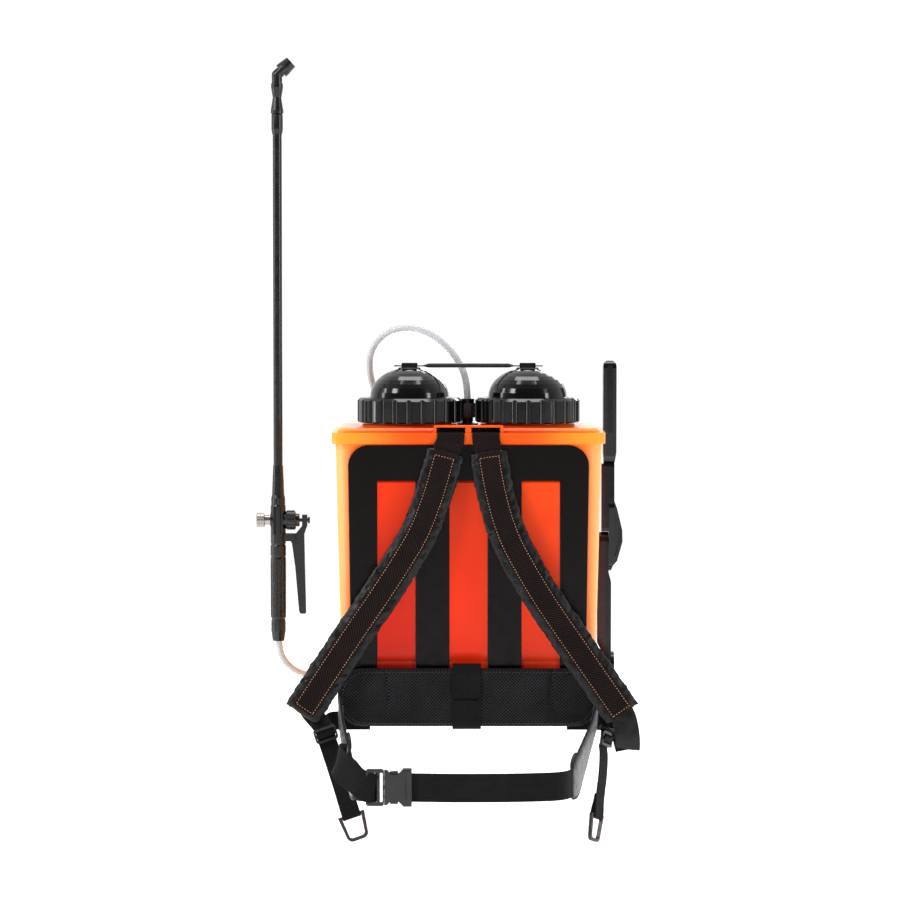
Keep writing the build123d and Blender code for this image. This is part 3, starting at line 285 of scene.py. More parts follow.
MATERIALS = {
    "tank_plastic": tank_material(),
    "panel_plastic": moulded("panel_black", (0.0016, 0.0006, 0.0006, 1), (0.0050, 0.0024, 0.0020, 1),
                             0.16, 0.28, 700, 0.00004, Specular_IOR_Level=0.16),
    "cap_plastic": moulded("cap_black", (0.0015, 0.0015, 0.0015, 1), (0.004, 0.004, 0.0045, 1), 0.07, 0.16,
                           500, 0.00004, Specular_IOR_Level=0.45),
    "pump_plastic": moulded("pump_black", (0.004, 0.004, 0.004, 1), (0.012, 0.012, 0.012, 1), 0.25, 0.45),
    "lever_plastic": lever_material(),
    "lance_plastic": moulded("lance_black", (0.003, 0.003, 0.0032, 1), (0.008, 0.008, 0.0085, 1), 0.2, 0.32,
                             1100, 0.00005, Specular_IOR_Level=0.5),
    "buckle_plastic": moulded("buckle_black", (0.006, 0.006, 0.0065, 1), (0.017, 0.017, 0.018, 1), 0.32, 0.46,
                              1500, 0.0001, Specular_IOR_Level=0.5),
    "seal_rubber": moulded("rubber", (0.012, 0.012, 0.012, 1), (0.022, 0.022, 0.022, 1), 0.6, 0.8),
    "steel": metal("steel", (0.55, 0.55, 0.57, 1), 0.22, 0.4),
    "nickel": metal("nickel", (0.42, 0.40, 0.37, 1), 0.2, 0.36),
    "hose_plastic": hose_material(),
    "strap_fabric": nylon_material("pad_nylon", (0.0012, 0.0009, 0.0010, 1), (0.0075, 0.0060, 0.0066, 1)),
    "webbing": webbing_material("webbing_black", (0.0007, 0.0007, 0.0008, 1), (0.020, 0.0192, 0.0202, 1)),
    "mesh_fabric": mesh_material(),
}
TWILL = webbing_material("webbing_brown", (0.0003, 0.0001, 0.0001, 1), (0.026, 0.011, 0.010, 1),
                         0.0044, 0.062)
# The wing satin's light grey is partly its own colour and partly painted sheen, standing in for its
# highlights.
SATIN = nylon_material("wing_satin", (0.085, 0.084, 0.088, 1), (0.15, 0.148, 0.153, 1), 0.26, 0.36, 0.0015)
GREY = nylon_material("tab_satin", (0.08, 0.08, 0.085, 1), (0.22, 0.22, 0.23, 1), 0.22, 0.36)
THREAD = moulded("thread_orange", (0.62, 0.24, 0.10, 1), (0.85, 0.50, 0.30, 1), 0.5, 0.7, 3000, 0.0001,
                 Sheen_Weight=0.1)
DARK_THREAD = moulded("thread_black", (0.004, 0.004, 0.004, 1), (0.02, 0.02, 0.02, 1), 0.5, 0.7, 3000, 0.0001,
                      Sheen_Weight=0.2)

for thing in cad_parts.values():
    for held in thing.material_slots:
        if held.material and held.material.name.split(".")[0] in MATERIALS:
            held.material = MATERIALS[held.material.name.split(".")[0]]


# Mesh helpers -------------------------------------------------------------------------------------

def new_piece(name, mesh, painted, body="root"):
    """A piece of the object, riding on a body unless no body is given."""
    piece = bpy.data.objects.new(name, mesh)
    bpy.context.scene.collection.objects.link(piece)
    if painted is not None:
        mesh.materials.clear()
        mesh.materials.append(painted)
    for face in mesh.polygons:
        face.use_smooth = True
    if body:
        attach(piece, body)
    return piece


def join_rows(bm, rows):
    """Faces between each closed row of points and the next."""
    for low, high in zip(rows, rows[1:]):
        for k in range(len(low)):
            m = (k + 1) % len(low)
            bm.faces.new((low[k], low[m], high[m], high[k]))


def finish_mesh(bm, mesh):
    """Turns the faces outwards and hands the shape to the mesh."""
    bmesh.ops.recalc_face_normals(bm, faces=bm.faces)
    bm.to_mesh(mesh)
    bm.free()


def smooth_line(points, step=0.004):
    """An even walk along a smooth line that touches the middle of each run between the points."""
    points = [Vector(p) for p in points]
    fine = [points[0]]
    for before, corner, after in zip(points, points[1:], points[2:]):
        start = (before + corner) / 2 if before is not points[0] else before
        end = (corner + after) / 2 if after is not points[-1] else after
        for k in range(1, 17):
            t = k / 16
            fine.append(start * (1 - t) ** 2 + corner * (2 * t * (1 - t)) + end * t * t)
    walk = [fine[0]]
    left = step
    for a, b in zip(fine, fine[1:]):
        run = (b - a).length
        gone = 0.0
        while run - gone >= left:
            gone += left
            left = step
            walk.append(a.lerp(b, gone / run))
        left -= run - gone
    if (walk[-1] - fine[-1]).length > step * 0.3:
        walk.append(fine[-1])
    return walk


def frames_along(walk, up):
    """(point, tangent, across, normal) at each point, where up is the normal wanted there."""
    made = []
    for k, point in enumerate(walk):
        tangent = (walk[min(k + 1, len(walk) - 1)] - walk[max(k - 1, 0)]).normalized()
        wanted = up(k, point) if callable(up) else up
        normal = (wanted - tangent * wanted.dot(tangent)).normalized()
        made.append((point, tangent, tangent.cross(normal).normalized(), normal))
    return made


SELVEDGE = 1.25


def band_mesh(name, rings, width, thick):
    """Webbing along rings of (point, tangent, across, normal[, width factor]), with rounded edges and UVs."""
    half = width / 2
    t = thick / 2
    e = t * SELVEDGE
    profile = [(-half, 0), (-half + t * 0.4, -e), (-half + t * 2.2, -e), (-half + t * 3.4, -t)]
    inner = [(-half / 2, -t), (0, -t), (half / 2, -t)]
    low = profile + inner + [(-a, b) for a, b in reversed(profile[1:])]
    outline = low + [(half, 0)] + [(a, -b) for a, b in reversed(low[1:])]
    mesh = bpy.data.meshes.new(name)
    bm = bmesh.new()
    layer = bm.loops.layers.uv.new("UVMap")
    rows = []
    run = 0.0
    for k, ring in enumerate(rings):
        point, tangent, across, normal = ring[:4]
        wide = ring[4] if len(ring) > 4 else 1.0
        if k:
            run += (point - rings[k - 1][0]).length
        rows.append((run, [bm.verts.new(point + across * (a * wide) + normal * b) for a, b in outline]))
    count = len(outline)
    for (v0, low_row), (v1, high_row) in zip(rows, rows[1:]):
        for k in range(count):
            m = (k + 1) % count
            face = bm.faces.new((low_row[k], low_row[m], high_row[m], high_row[k]))
            u0, u1 = outline[k][0] + half, outline[m][0] + half
            for loop, uv in zip(face.loops, ((u0, v0), (u1, v0), (u1, v1), (u0, v1))):
                loop[layer].uv = uv
    for (v, row), flip in ((rows[0], True), (rows[-1], False)):
        face = bm.faces.new(list(reversed(row)) if flip else row)
        for loop in face.loops:
            loop[layer].uv = (outline[row.index(loop.vert)][0] + half, v)
    finish_mesh(bm, mesh)
    return mesh


def band(name, rings, width, thick, painted, slot):
    return new_piece(name, band_mesh(name, rings, width, thick), painted)


def add_capsule(bm, start, end, radius, lift, sides=6):
    """A short thread from start to end, bowed up by lift."""
    line = end - start
    along = line.normalized()
    side = along.cross(lift).normalized()
    top = side.cross(along).normalized()
    rows = []
    for t, size, up in ((0, 0.25, -0.6), (0.2, 0.85, 0.1), (0.5, 1, 0.45), (0.8, 0.85, 0.1), (1, 0.25, -0.6)):
        middle = start + line * t + top * (radius * up)
        rows.append([bm.verts.new(middle + (side * math.cos(k * 2 * math.pi / sides)
                                            + top * math.sin(k * 2 * math.pi / sides)) * (radius * size))
                     for k in range(sides)])
    join_rows(bm, rows)
    bm.faces.new(list(reversed(rows[0])))
    bm.faces.new(rows[-1])


def stitches(name, lines, painted, pitch=0.0031, length=0.0021, radius=0.00038):
    """Rows of stitches. Each line is a list of (point, normal) along a seam."""
    mesh = bpy.data.meshes.new(name)
    bm = bmesh.new()
    for line in lines:
        distance = 0.0
        wanted = pitch * 0.5
        for (a, up), (b, _) in zip(line, line[1:]):
            run = (b - a).length
            if run < 1e-6:
                continue
            while wanted <= distance + run:
                spot = a.lerp(b, (wanted - distance) / run)
                along = (b - a) / run
                add_capsule(bm, spot - along * length / 2, spot + along * length / 2, radius, up)
                wanted += pitch
            distance += run
    finish_mesh(bm, mesh)
    return new_piece(name, mesh, painted)


def loop_mesh(name, walk, radii, sides):
    """A round cord of cloth, such as piping, along a closed walk, with a radius for each point."""
    mesh = bpy.data.meshes.new(name)
    bm = bmesh.new()
    rows = []
    count = len(walk)
    up = Vector((0.3, 0.5, 0.8)).normalized()
    for k, point in enumerate(walk):
        tangent = (walk[(k + 1) % count] - walk[k - 1]).normalized()
        side = tangent.cross(up).normalized()
        top = side.cross(tangent)
        rows.append([bm.verts.new(point + (side * math.cos(2 * math.pi * m / sides)
                                           + top * math.sin(2 * math.pi * m / sides)) * radii[k])
                     for m in range(sides)])
    join_rows(bm, rows + rows[:1])
    finish_mesh(bm, mesh)
    return mesh


def apply_modifiers(piece):
    """Makes the piece's modified shape its own mesh."""
    graph = bpy.context.evaluated_depsgraph_get()
    mesh = bpy.data.meshes.new_from_object(piece.evaluated_get(graph))
    piece.modifiers.clear()
    piece.data = mesh


def swell(piece, voxel, pressure, cap, pinned):
    """Stuffs a closed mesh as cloth does: it swells between its seams, and no point moves more than cap.

    pinned(point) is how firmly a seam holds the cloth there, from 0 to 1.
    """
    remesh = piece.modifiers.new("remesh", "REMESH")
    remesh.mode = "VOXEL"
    remesh.voxel_size = voxel
    apply_modifiers(piece)
    start = [v.co.copy() for v in piece.data.vertices]
    group = piece.vertex_groups.new(name="pins")
    for k, point in enumerate(start):
        hold = pinned(point)
        if hold > 0:
            group.add([k], hold, "REPLACE")
    cloth = piece.modifiers.new("cloth", "CLOTH")
    cloth.settings.quality = 4
    cloth.settings.mass = 0.3
    cloth.settings.tension_stiffness = 12
    cloth.settings.compression_stiffness = 6
    cloth.settings.shear_stiffness = 4
    cloth.settings.bending_stiffness = 0.3
    cloth.settings.use_pressure = True
    cloth.settings.uniform_pressure_force = pressure
    cloth.settings.effector_weights.gravity = 0
    cloth.settings.vertex_group_mass = "pins"
    cloth.collision_settings.use_collision = False
    for step in range(1, 21):
        bpy.context.scene.frame_set(step)
    graph = bpy.context.evaluated_depsgraph_get()
    moved = [v.co.copy() for v in piece.evaluated_get(graph).data.vertices]
    piece.modifiers.clear()
    piece.vertex_groups.clear()
    bpy.context.scene.frame_set(1)
    for vertex, a, b in zip(piece.data.vertices, start, moved):
        push = b - a
        vertex.co = a + push * min(1.0, cap / max(push.length, 1e-9))
    smooth = piece.modifiers.new("smooth", "SUBSURF")
    smooth.levels = 1
    smooth.render_levels = 1
    apply_modifiers(piece)


def repaint(piece, painted):
    piece.data.materials.clear()
    piece.data.materials.append(painted)
    for face in piece.data.polygons:
        face.use_smooth = True


def surface_of(piece):
    return BVHTree.FromPolygons([v.co.copy() for v in piece.data.vertices],
                                [tuple(p.vertices) for p in piece.data.polygons])


# Hose ---------------------------------------------------------------------------------------------

HOSE_ROUTE = [
    (-1.5, 110, 430), (-1.5, 110, 455), (-10, 112, 483), (-30, 116, 510), (-58, 121, 530),
    (-90, 128, 536), (-118, 138, 526), (-137, 150, 502), (-139, 164, 470), (-128, 180, 432),
    (-102, 192, 394), (-62, 199, 358), (-10, 202, 328), (44, 203, 292), (90, 203, 244), (112, 203, 186),
    (104, 203, 126), (66, 202, 80), (12, 201, 54), (-46, 199, 45), (-104, 196, 41), (-156, 184, 42),
    (-194, 159, 44), (-221, 124, 50), (-240, 101, 59), (-254, 89, 73), (-262, 85, 92), (-262, 85, 120),
]
hose_curve = bpy.data.curves.new("hose_line", "CURVE")
hose_curve.dimensions = "3D"
hose_curve.bevel_depth = 0.00475
hose_curve.bevel_resolution = 6
hose_curve.use_fill_caps = True
hose_curve.resolution_u = 16
spline = hose_curve.splines.new("NURBS")
spline.points.add(len(HOSE_ROUTE) - 1)
for spot, (x, y, z) in zip(spline.points, HOSE_ROUTE):
    spot.co = (*at(x, y, z), 1)
spline.order_u = 3
spline.use_endpoint_u = True
hose = bpy.data.objects.new("hose_line", hose_curve)
bpy.context.scene.collection.objects.link(hose)
hose_curve.materials.append(MATERIALS["hose_plastic"])
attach(hose, "root")
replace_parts(hose, "hose")


# Shoulder straps ----------------------------------------------------------------------------------

LEAN = math.radians(7.7)
STRAP_TOP = at(0, -12, 368)
STRAP_UP = Vector((0, math.sin(LEAN), math.cos(LEAN)))
STRAP_OUT = Vector((0, -math.cos(LEAN), math.sin(LEAN)))
STRAP_LINES = {
    -1: [(-31, 0), (-52, -85), (-98, -163), (-170, -268), (-224, -352)],
    1: [(27, 0), (38, -85), (88, -180), (150, -270), (207, -352)],
}


def on_strap(x, y, lift=0.0):
    """A point of the strap's leaning plane, in millimetres."""
    return STRAP_TOP + (X * x + STRAP_UP * y + STRAP_OUT * lift) * 0.001


def strap_walk(side, above, beyond, step):
    """An even walk down the strap's middle line, longer by above and beyond."""
    points = [Vector((x, y)) for x, y in STRAP_LINES[side]]
    points[0] += (points[0] - points[1]).normalized() * above
    points[-1] += (points[-1] - points[-2]).normalized() * beyond
    return smooth_line([on_strap(*p) for p in points], step)


def strap_pad(side, label):
    """A foam pad in nylon, sewn flat under its webbing and puckered along both margins."""
    walk = strap_walk(side, 2, 0, 0.0045)
    rings = frames_along(walk, STRAP_OUT)
    mesh = bpy.data.meshes.new("pad")
    bm = bmesh.new()
    rows = []
    count = len(rings)
    total = 20
    for k, (point, tangent, across, normal) in enumerate(rings):
        end = min(k, count - 1 - k)
        shrink = 1 - 0.35 * max(0, 2 - end) / 2
        ring = []
        for m in range(total):
            angle = 2 * math.pi * m / total
            c, s = math.cos(angle), math.sin(angle)
            a = 0.0268 * math.copysign(abs(c) ** 0.62, c)
            b = 0.0047 * shrink * math.copysign(abs(s) ** 0.7, s)
            ring.append(bm.verts.new(point + across * a + normal * b))
        rows.append(ring)
    join_rows(bm, rows)
    bm.faces.new(list(reversed(rows[0])))
    bm.faces.new(rows[-1])
    finish_mesh(bm, mesh)
    pad = new_piece(f"shoulder_pad_{label}_cloth", mesh, None)

    def local(point):
        """How far along, across and off the plane a point lies."""
        best = min(range(count), key=lambda k: (rings[k][0] - point).length_squared)
        middle, tangent, across, normal = rings[best]
        away = point - middle
        return best, away.dot(across), away.dot(normal), across, normal

    def pinned(point):
        along, a, b, _, _ = local(point)
        if abs(a) < 0.0155 and b > 0:
            return 1.0
        if abs(a) > 0.0255:
            return 0.7
        return 0.0

    swell(pad, 0.0040, 5.0, 0.005, pinned)
    for vertex in pad.data.vertices:
        along, a, b, across, normal = local(vertex.co)
        margin = max(0.0, min(1.0, (abs(a) - 0.0145) / 0.006))
        if margin > 0:
            phase = along * 0.0045 / 0.019 + (3.1 if a > 0 else 0) + abs(a) * 26
            fold = noise.noise(Vector((phase, a * 60, side * 5.0)))
            crease = max(0.0, 1 - abs(noise.noise(Vector((phase * 1.4, side * 9.0, 4.0)))) / 0.09)
            vertex.co += normal * (margin * (0.0017 * fold - 0.0014 * crease)
                                   * (1 if b > 0 else -1))
            vertex.co += across * (margin * (0.0008 * fold - 0.0004 * crease) * (1 if a > 0 else -1))
    repaint(pad, MATERIALS["strap_fabric"])
    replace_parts(pad, f"shoulder_pad_{label}")


def across_rings(walk, across):
    """Rings whose width keeps to one direction, given for the whole walk or by place along it."""
    rings = []
    last = len(walk) - 1
    for k, point in enumerate(walk):
        tangent = (walk[min(k + 1, last)] - walk[max(k - 1, 0)]).normalized()
        wanted = across(k / last) if callable(across) else across
        flat = (wanted - tangent * wanted.dot(tangent)).normalized()
        rings.append((point, tangent, flat, flat.cross(tangent).normalized()))
    return rings


WEB_THICK = 0.0013
SEAM_ACROSS = 0.0130


def strap_webbing(side, label):
    """The panel sewn down the pad's front with its stitch rows, and the lead up to the anchor bar."""
    walk = strap_walk(side, 1, -6 if side < 0 else -2, 0.004)
    rings = []
    for k, (point, tangent, across, normal) in enumerate(frames_along(walk, STRAP_OUT)):
        wave = 0.0004 * noise.noise(Vector((k * 0.11, side * 3.0, 0.0)))
        rings.append((point + normal * (0.0054 + wave), tangent, across, normal))
    panel = band(f"shoulder_panel_{label}", rings, 0.031, 0.0014, TWILL, "webbing")
    face = [(p + n * 0.0009, a, n) for p, t, a, n in rings]
    rows = []
    for offset in (-SEAM_ACROSS, SEAM_ACROSS):
        rows.append([(p + a * offset, n) for p, a, n in face[2:-1]])
    for p, a, n in (face[2], face[-2]):
        rows.append([(p + a * (SEAM_ACROSS * (1 - k / 4)), n) for k in range(9)])
    stitches(f"shoulder_stitches_{label}", rows, THREAD, 0.0040, 0.0019, 0.00038)

    middle = -23.8 if side < 0 else 23.3
    top = Vector(STRAP_LINES[side][0])
    down = (Vector(STRAP_LINES[side][1]) - top).normalized()
    inside = [on_strap(*(top - down * 5), 1.0), on_strap(*(top + down * 8), 1.0)]
    route = [at(middle, 9.0, 395.0), at(middle, 3.0, 394.9), at(middle, -7.2, 394.8), at(middle, -7.4, 387),
             at(middle * 1.05, -9.0, 380), *inside]
    lead = across_rings(smooth_line(route, 0.003), X)
    band(f"shoulder_lead_{label}", lead, 0.037, WEB_THICK, TWILL, "webbing")
    centre = at(middle, 7.5, 397.6)
    loop = [centre + Vector((0, math.cos(a), math.sin(a))) * 0.00275
            for a in [math.radians(-100 - 24 * k) for k in range(11)]]
    band(f"shoulder_loop_{label}", across_rings(loop, X), 0.037, WEB_THICK, TWILL, "webbing")
    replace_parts(panel, f"shoulder_webbing_{label}")


for side, label in ((-1, "left"), (1, "right")):
    strap_pad(side, label)
    strap_webbing(side, label)


# Lumbar pad ---------------------------------------------------------------------------------------

CREASE_X = 111
PATCH_X = -2.4


def lumbar_pad():
    """The mesh-covered pad across the small of the back."""
    mesh = bpy.data.meshes.new("lumbar")
    bm = bmesh.new()
    low, high, radius = -1.5, 77.5, 34
    reach = 176.5 - radius
    outline = []
    for cx, cz, start in ((reach, high - radius, 0), (-reach, high - radius, 90),
                          (-reach, low + radius, 180), (reach, low + radius, 270)):
        for k in range(9):
            a = math.radians(start + 90 * k / 8)
            outline.append((cx + radius * math.cos(a), cz + radius * math.sin(a)))
    mid = (low + high) / 2
    layers = [(-31.5, 0.90), (-29.5, 0.965), (-25, 1.0), (-19, 1.0), (-14, 0.985), (-12.2, 0.94)]
    rows = []
    for y, size in layers:
        inset = (1 - size) * 39
        row = []
        for x, z in outline:
            away = Vector((max(-reach, min(reach, x)), mid))
            span = Vector((x, z)) - away
            spot = away + span * ((span.length - inset) / span.length)
            row.append(bm.verts.new(at(spot.x, y, spot.y)))
        rows.append(row)
    join_rows(bm, rows)
    bm.faces.new(rows[0])
    bm.faces.new(list(reversed(rows[-1])))
    bmesh.ops.triangulate(bm, faces=[f for f in bm.faces if len(f.verts) > 4])
    finish_mesh(bm, mesh)
    pad = new_piece("lumbar_pad_cloth", mesh, None)
    front = at(0, -24, 0).y

    def pinned(point):
        x, z = point.x * 1000, point.z * 1000 + 38
        if point.y > front:
            return 1.0
        if abs(abs(x) - CREASE_X) < 2.6 and z > 22:
            return 0.9
        if abs(x - PATCH_X) < 19:
            return 0.9
        return 0.0

    swell(pad, 0.005, 4.0, 0.006, pinned)
    for vertex in pad.data.vertices:
        x, z = vertex.co.x * 1000, vertex.co.z * 1000 + 38
        if vertex.co.y < front:
            beside = (abs(x) - CREASE_X - 1.5 * math.sin(z / 9)) / 2.6
            crease = math.exp(-beside ** 2) * max(0, min(1, (z - 14) / 22))
            soft = noise.noise(Vector((x * 0.018, z * 0.03, 2.0)))
            vertex.co.y += 0.0034 * crease + 0.0012 * soft
    repaint(pad, MATERIALS["mesh_fabric"])
    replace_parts(pad, "lumbar_pad")
    return pad


lumbar = lumbar_pad()
lumbar_skin = surface_of(lumbar)


def lumbar_front(x, z, lift):
    """The pad's front surface at a point, lifted off it."""
    hit = lumbar_skin.ray_cast(at(x, -90, z), Vector((0, 1, 0)))
    y = hit[0].y if hit[0] else at(0, -28, 0).y
    return Vector((x * 0.001, y - lift, at(0, 0, z).z))


def lumbar_patch(name, low, high, lift, wrap_low, wrap_high):
    """Webbing round the middle of the pad."""
    path = []
    if wrap_low:
        path += [at(PATCH_X, -15, low - 3.4), at(PATCH_X, -27, low - 3.2)]
    steps = 9
    for k in range(steps):
        path.append(lumbar_front(PATCH_X, low + (high - low) * (k + 0.5) / steps, lift))
    if wrap_high:
        path += [at(PATCH_X, -27, high + 3.2), at(PATCH_X, -15, high + 3.4)]
    walk = smooth_line(path, 0.003)
    centre = at(PATCH_X, -18, 38)
    rings = frames_along(walk, lambda k, p: Vector((0, p.y - centre.y, (p.z - centre.z) * 0.35)))
    return band(name, rings, 0.0385, 0.0015, MATERIALS["webbing"], "webbing")


lumbar_patch("lumbar_patch_low", -1.5, 37.5, 0.0014, True, False)
lumbar_patch("lumbar_patch_high", 36, 79, 0.0024, False, True)
seam = [(cx + 33.2 * math.cos(math.radians(start + 180 * k / 24)),
         38 + 38.2 * math.sin(math.radians(start + 180 * k / 24)))
        for cx, start in ((143.5, -90), (-143.5, 90)) for k in range(25)]
stitches("lumbar_seam", [[(lumbar_front(x * 0.962, 38 + (z - 38) * 0.90, 0.0002), Vector((0, -1, 0)))
                          for x, z in seam + seam[:1]]], DARK_THREAD, 0.0045, 0.003, 0.0005)


# Belt wings ---------------------------------------------------------------------------------------

WING_TURN = {-1: 12, 1: 20}
WING_ROOT_X = 173
WING_ROOT_Y = -35.2


def wing_point(side, forward, z, out=0.0):
    """A point on a wing: forward from the lumbar pad, at a height, and out from its middle plane."""
    turn = math.radians(WING_TURN[side])
    x = WING_ROOT_X - forward * math.sin(turn) + out * math.cos(turn)
    y = WING_ROOT_Y - forward * math.cos(turn) - out * math.sin(turn)
    return at(side * x, y, z)


WING_REACH = 108
WING_OUTLINE = [(0, 5), (0, 44), (22, 10), (WING_REACH, -39), (WING_REACH, -83), (84, -83)]


def belt_wing(side, label):
    """A padded nylon wing, sewn round its edge."""
    corners = [Vector((a, b, 0)) for a, b in WING_OUTLINE]
    ring = []
    count = len(corners)
    for k in range(count):
        before, here, after = corners[k - 1], corners[k], corners[(k + 1) % count]
        a = here + (before - here).normalized() * min(9, (before - here).length * 0.4)
        b = here + (after - here).normalized() * min(9, (after - here).length * 0.4)
        for m in range(5):
            t = m / 4
            ring.append(a * (1 - t) ** 2 + here * (2 * t * (1 - t)) + b * t * t)
    even = []
    for k, a in enumerate(ring):
        b = ring[(k + 1) % len(ring)]
        pieces = max(1, int((b - a).length / 5))
        even += [a.lerp(b, m / pieces) for m in range(pieces)]
    centre = Vector((52, -24, 0))
    mesh = bpy.data.meshes.new("wing")
    bm = bmesh.new()
    rows = []
    for out, inset in ((-3.4, 4.5), (-2.4, 1.6), (0, 0.4), (2.4, 1.6), (3.4, 4.5)):
        row = []
        for p in even:
            spot = p - (p - centre).normalized() * inset
            row.append(bm.verts.new(wing_point(side, spot.x, spot.y, out)))
        rows.append(row)
    join_rows(bm, rows)
    faces = [bm.faces.new(rows[0]), bm.faces.new(list(reversed(rows[-1])))]
    bmesh.ops.triangulate(bm, faces=faces)
    finish_mesh(bm, mesh)
    wing = new_piece(f"belt_wing_{label}_cloth", mesh, None)
    edge = [wing_point(side, p.x, p.y) for p in even]

    def pinned(point):
        return 1.0 if min((point - e).length for e in edge) < 0.006 else 0.0

    swell(wing, 0.0042, 4.0, 0.005, pinned)
    for vertex in wing.data.vertices:
        vertex.co += X * (0.0009 * noise.noise(vertex.co * 60))
    repaint(wing, SATIN)
    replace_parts(wing, f"belt_wing_{label}")
    drawn_in = [p - (p - centre).normalized() * 0.3 for p in even]
    closed = [wing_point(side, p.x, p.y) for p in drawn_in]
    radii = [0.0017 + 0.0003 * noise.noise(Vector((k * 0.7, side, 0))) for k in range(len(closed))]
    new_piece(f"belt_wing_{label}_binding", loop_mesh("binding", closed, radii, 8),
              MATERIALS["strap_fabric"])


for side, label in ((-1, "left"), (1, "right")):
    belt_wing(side, label)


# Belt webbing -------------------------------------------------------------------------------------

BELT_WIDTH = 0.0378


def belt_band(name, points, node_name):
    """Belt webbing on edge along a plan line."""
    walk = smooth_line([at(x, y, z) for x, y, z in points], 0.004)
    rings = []
    for k, (point, tangent, across, normal) in enumerate(frames_along(walk, Z)):
        wave = 0.0008 * noise.noise(Vector((k * 0.13, 1.7, 0.3)))
        rings.append((point + across * wave, tangent, normal, across))
    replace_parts(band(name, rings, BELT_WIDTH, 0.0019, MATERIALS["webbing"], "webbing"), node_name)


def wing_tip(side):
    """The middle of a wing's front end."""
    turn = math.radians(WING_TURN[side])
    return side * (WING_ROOT_X - WING_REACH * math.sin(turn)), WING_ROOT_Y - WING_REACH * math.cos(turn)


x, y = wing_tip(-1)
belt_left = [(x - 1.2, y + 6, -61.5), (x, y, -62), (x + 5.5, -167, -62), (-129, -168, -62)]
belt_band("belt_left_cloth", belt_left, "belt_webbing_left")
x, y = wing_tip(1)
belt_right = [(-78, -168, -62), (-20, -168.6, -63), (50, -168.4, -62.5), (108, -167, -61.5),
              (x - 8.5, y - 20, -61), (x, y, -61), (x + 2.2, y + 6, -61)]
belt_band("belt_right_cloth", belt_right, "belt_webbing_right")


def oval_tab(side, label):
    """A sewn satin tab over the place where the belt's webbing goes into the wing."""
    forward, z = (84, -36) if side > 0 else (44, -14)
    centre = wing_point(side, forward, z, -4.6)
    ahead = (wing_point(side, forward + 10, z - 5.7) - wing_point(side, forward, z)).normalized()
    out = (wing_point(side, forward, z, -10) - wing_point(side, forward, z)).normalized()
    rise = ahead.cross(out).normalized()
    mesh = bpy.data.meshes.new("tab")
    bm = bmesh.new()
    rows = []
    turns = [2 * math.pi * k / 28 for k in range(28)]
    for size, lift in ((0.90, -1.5), (1.0, -0.5), (0.97, 0.8), (0.85, 1.7), (0.6, 2.3), (0.3, 2.6)):
        rows.append([bm.verts.new(centre + ahead * (0.015 * size * math.cos(a))
                                  + rise * (0.0085 * size * math.sin(a)) + out * (lift * 0.001))
                     for a in turns])
    join_rows(bm, rows)
    bm.faces.new(rows[0])
    bm.faces.new(rows[-1])
    finish_mesh(bm, mesh)
    new_piece(f"wing_tab_{label}", mesh, GREY)
    edge = [centre + ahead * (0.0153 * math.cos(a)) + rise * (0.0088 * math.sin(a)) + out * 0.0006
            for a in [2 * math.pi * k / 40 for k in range(40)]]
    seam_mesh = loop_mesh("seam", edge, [0.0009] * len(edge), 6)
    new_piece(f"wing_tab_{label}_seam", seam_mesh, DARK_THREAD)


for side, label in ((-1, "left"), (1, "right")):
    oval_tab(side, label)


def belt_fold():
    """The belt's free end, folded back from the buckle over the left wing's end."""
    start = at(-122, -173.5, -64)
    path = [start, at(-133, -173.6, -61), at(-145, -170, -54), at(-158, -160, -44), at(-169, -148, -35),
            at(-174, -136, -30), at(-170, -122, -29), at(-162, -110, -30)]
    walk = smooth_line(path, 0.003)

    def across(t):
        return Vector((0.10 + 0.40 * math.sin(math.pi * min(1, 1.15 * t)), 0.1, 1.0))

    rings = across_rings(walk, across)
    rings = [(*ring, 1.0 + 0.05 * math.sin(k * 0.5)) for k, ring in enumerate(rings)]
    band("belt_fold", rings, 0.037, 0.0017, MATERIALS["webbing"], "webbing")


belt_fold()


def buckle_webbing():
    """The belt's webbing, threaded through the plug's ladder."""
    ladder = [at(-136, -168, -62), at(-132, -166, -62), at(-128.7, -168, -62), at(-125, -175.5, -62),
              at(-121.2, -168, -62), at(-119, -165, -62)]
    band("buckle_threading", across_rings(smooth_line(ladder, 0.001), Z), BELT_WIDTH, 0.0014,
         MATERIALS["webbing"], "webbing")


buckle_webbing()


# Adjuster webbing and tails -----------------------------------------------------------------------

TAIL_X = {-1: -157, 1: 172}
TAIL_WIDTH = 0.025
TAIL_TURN = {-1: math.radians(12), 1: math.radians(62)}
LOCK_SHIFT = {-1: -34.8, 1: 30}
LOCK_Z = {-1: -7, 1: -18}
RING_Z = -118
TAIL_REACH = {side: math.hypot(LOCK_SHIFT[side], LOCK_Z[side] - RING_Z) for side in (-1, 1)}


def tail_axes(side):
    """A tail's directions: across its webbing, up along it from the ring, and out towards the wearer."""
    level = Vector((math.cos(TAIL_TURN[side]), math.sin(TAIL_TURN[side]), 0))
    up = (level * LOCK_SHIFT[side] + Z * (LOCK_Z[side] - RING_Z)).normalized()
    out = level.cross(Z)
    return up.cross(out), up, out


def tail_point(side, shift, rise, out=0.0):
    """A point of a tail in mm: shift across its webbing, rise along it from the ring, out to the wearer."""
    across, up, away = tail_axes(side)
    return at(TAIL_X[side], -52, RING_Z) + (across * shift + up * rise + away * out) * 0.001


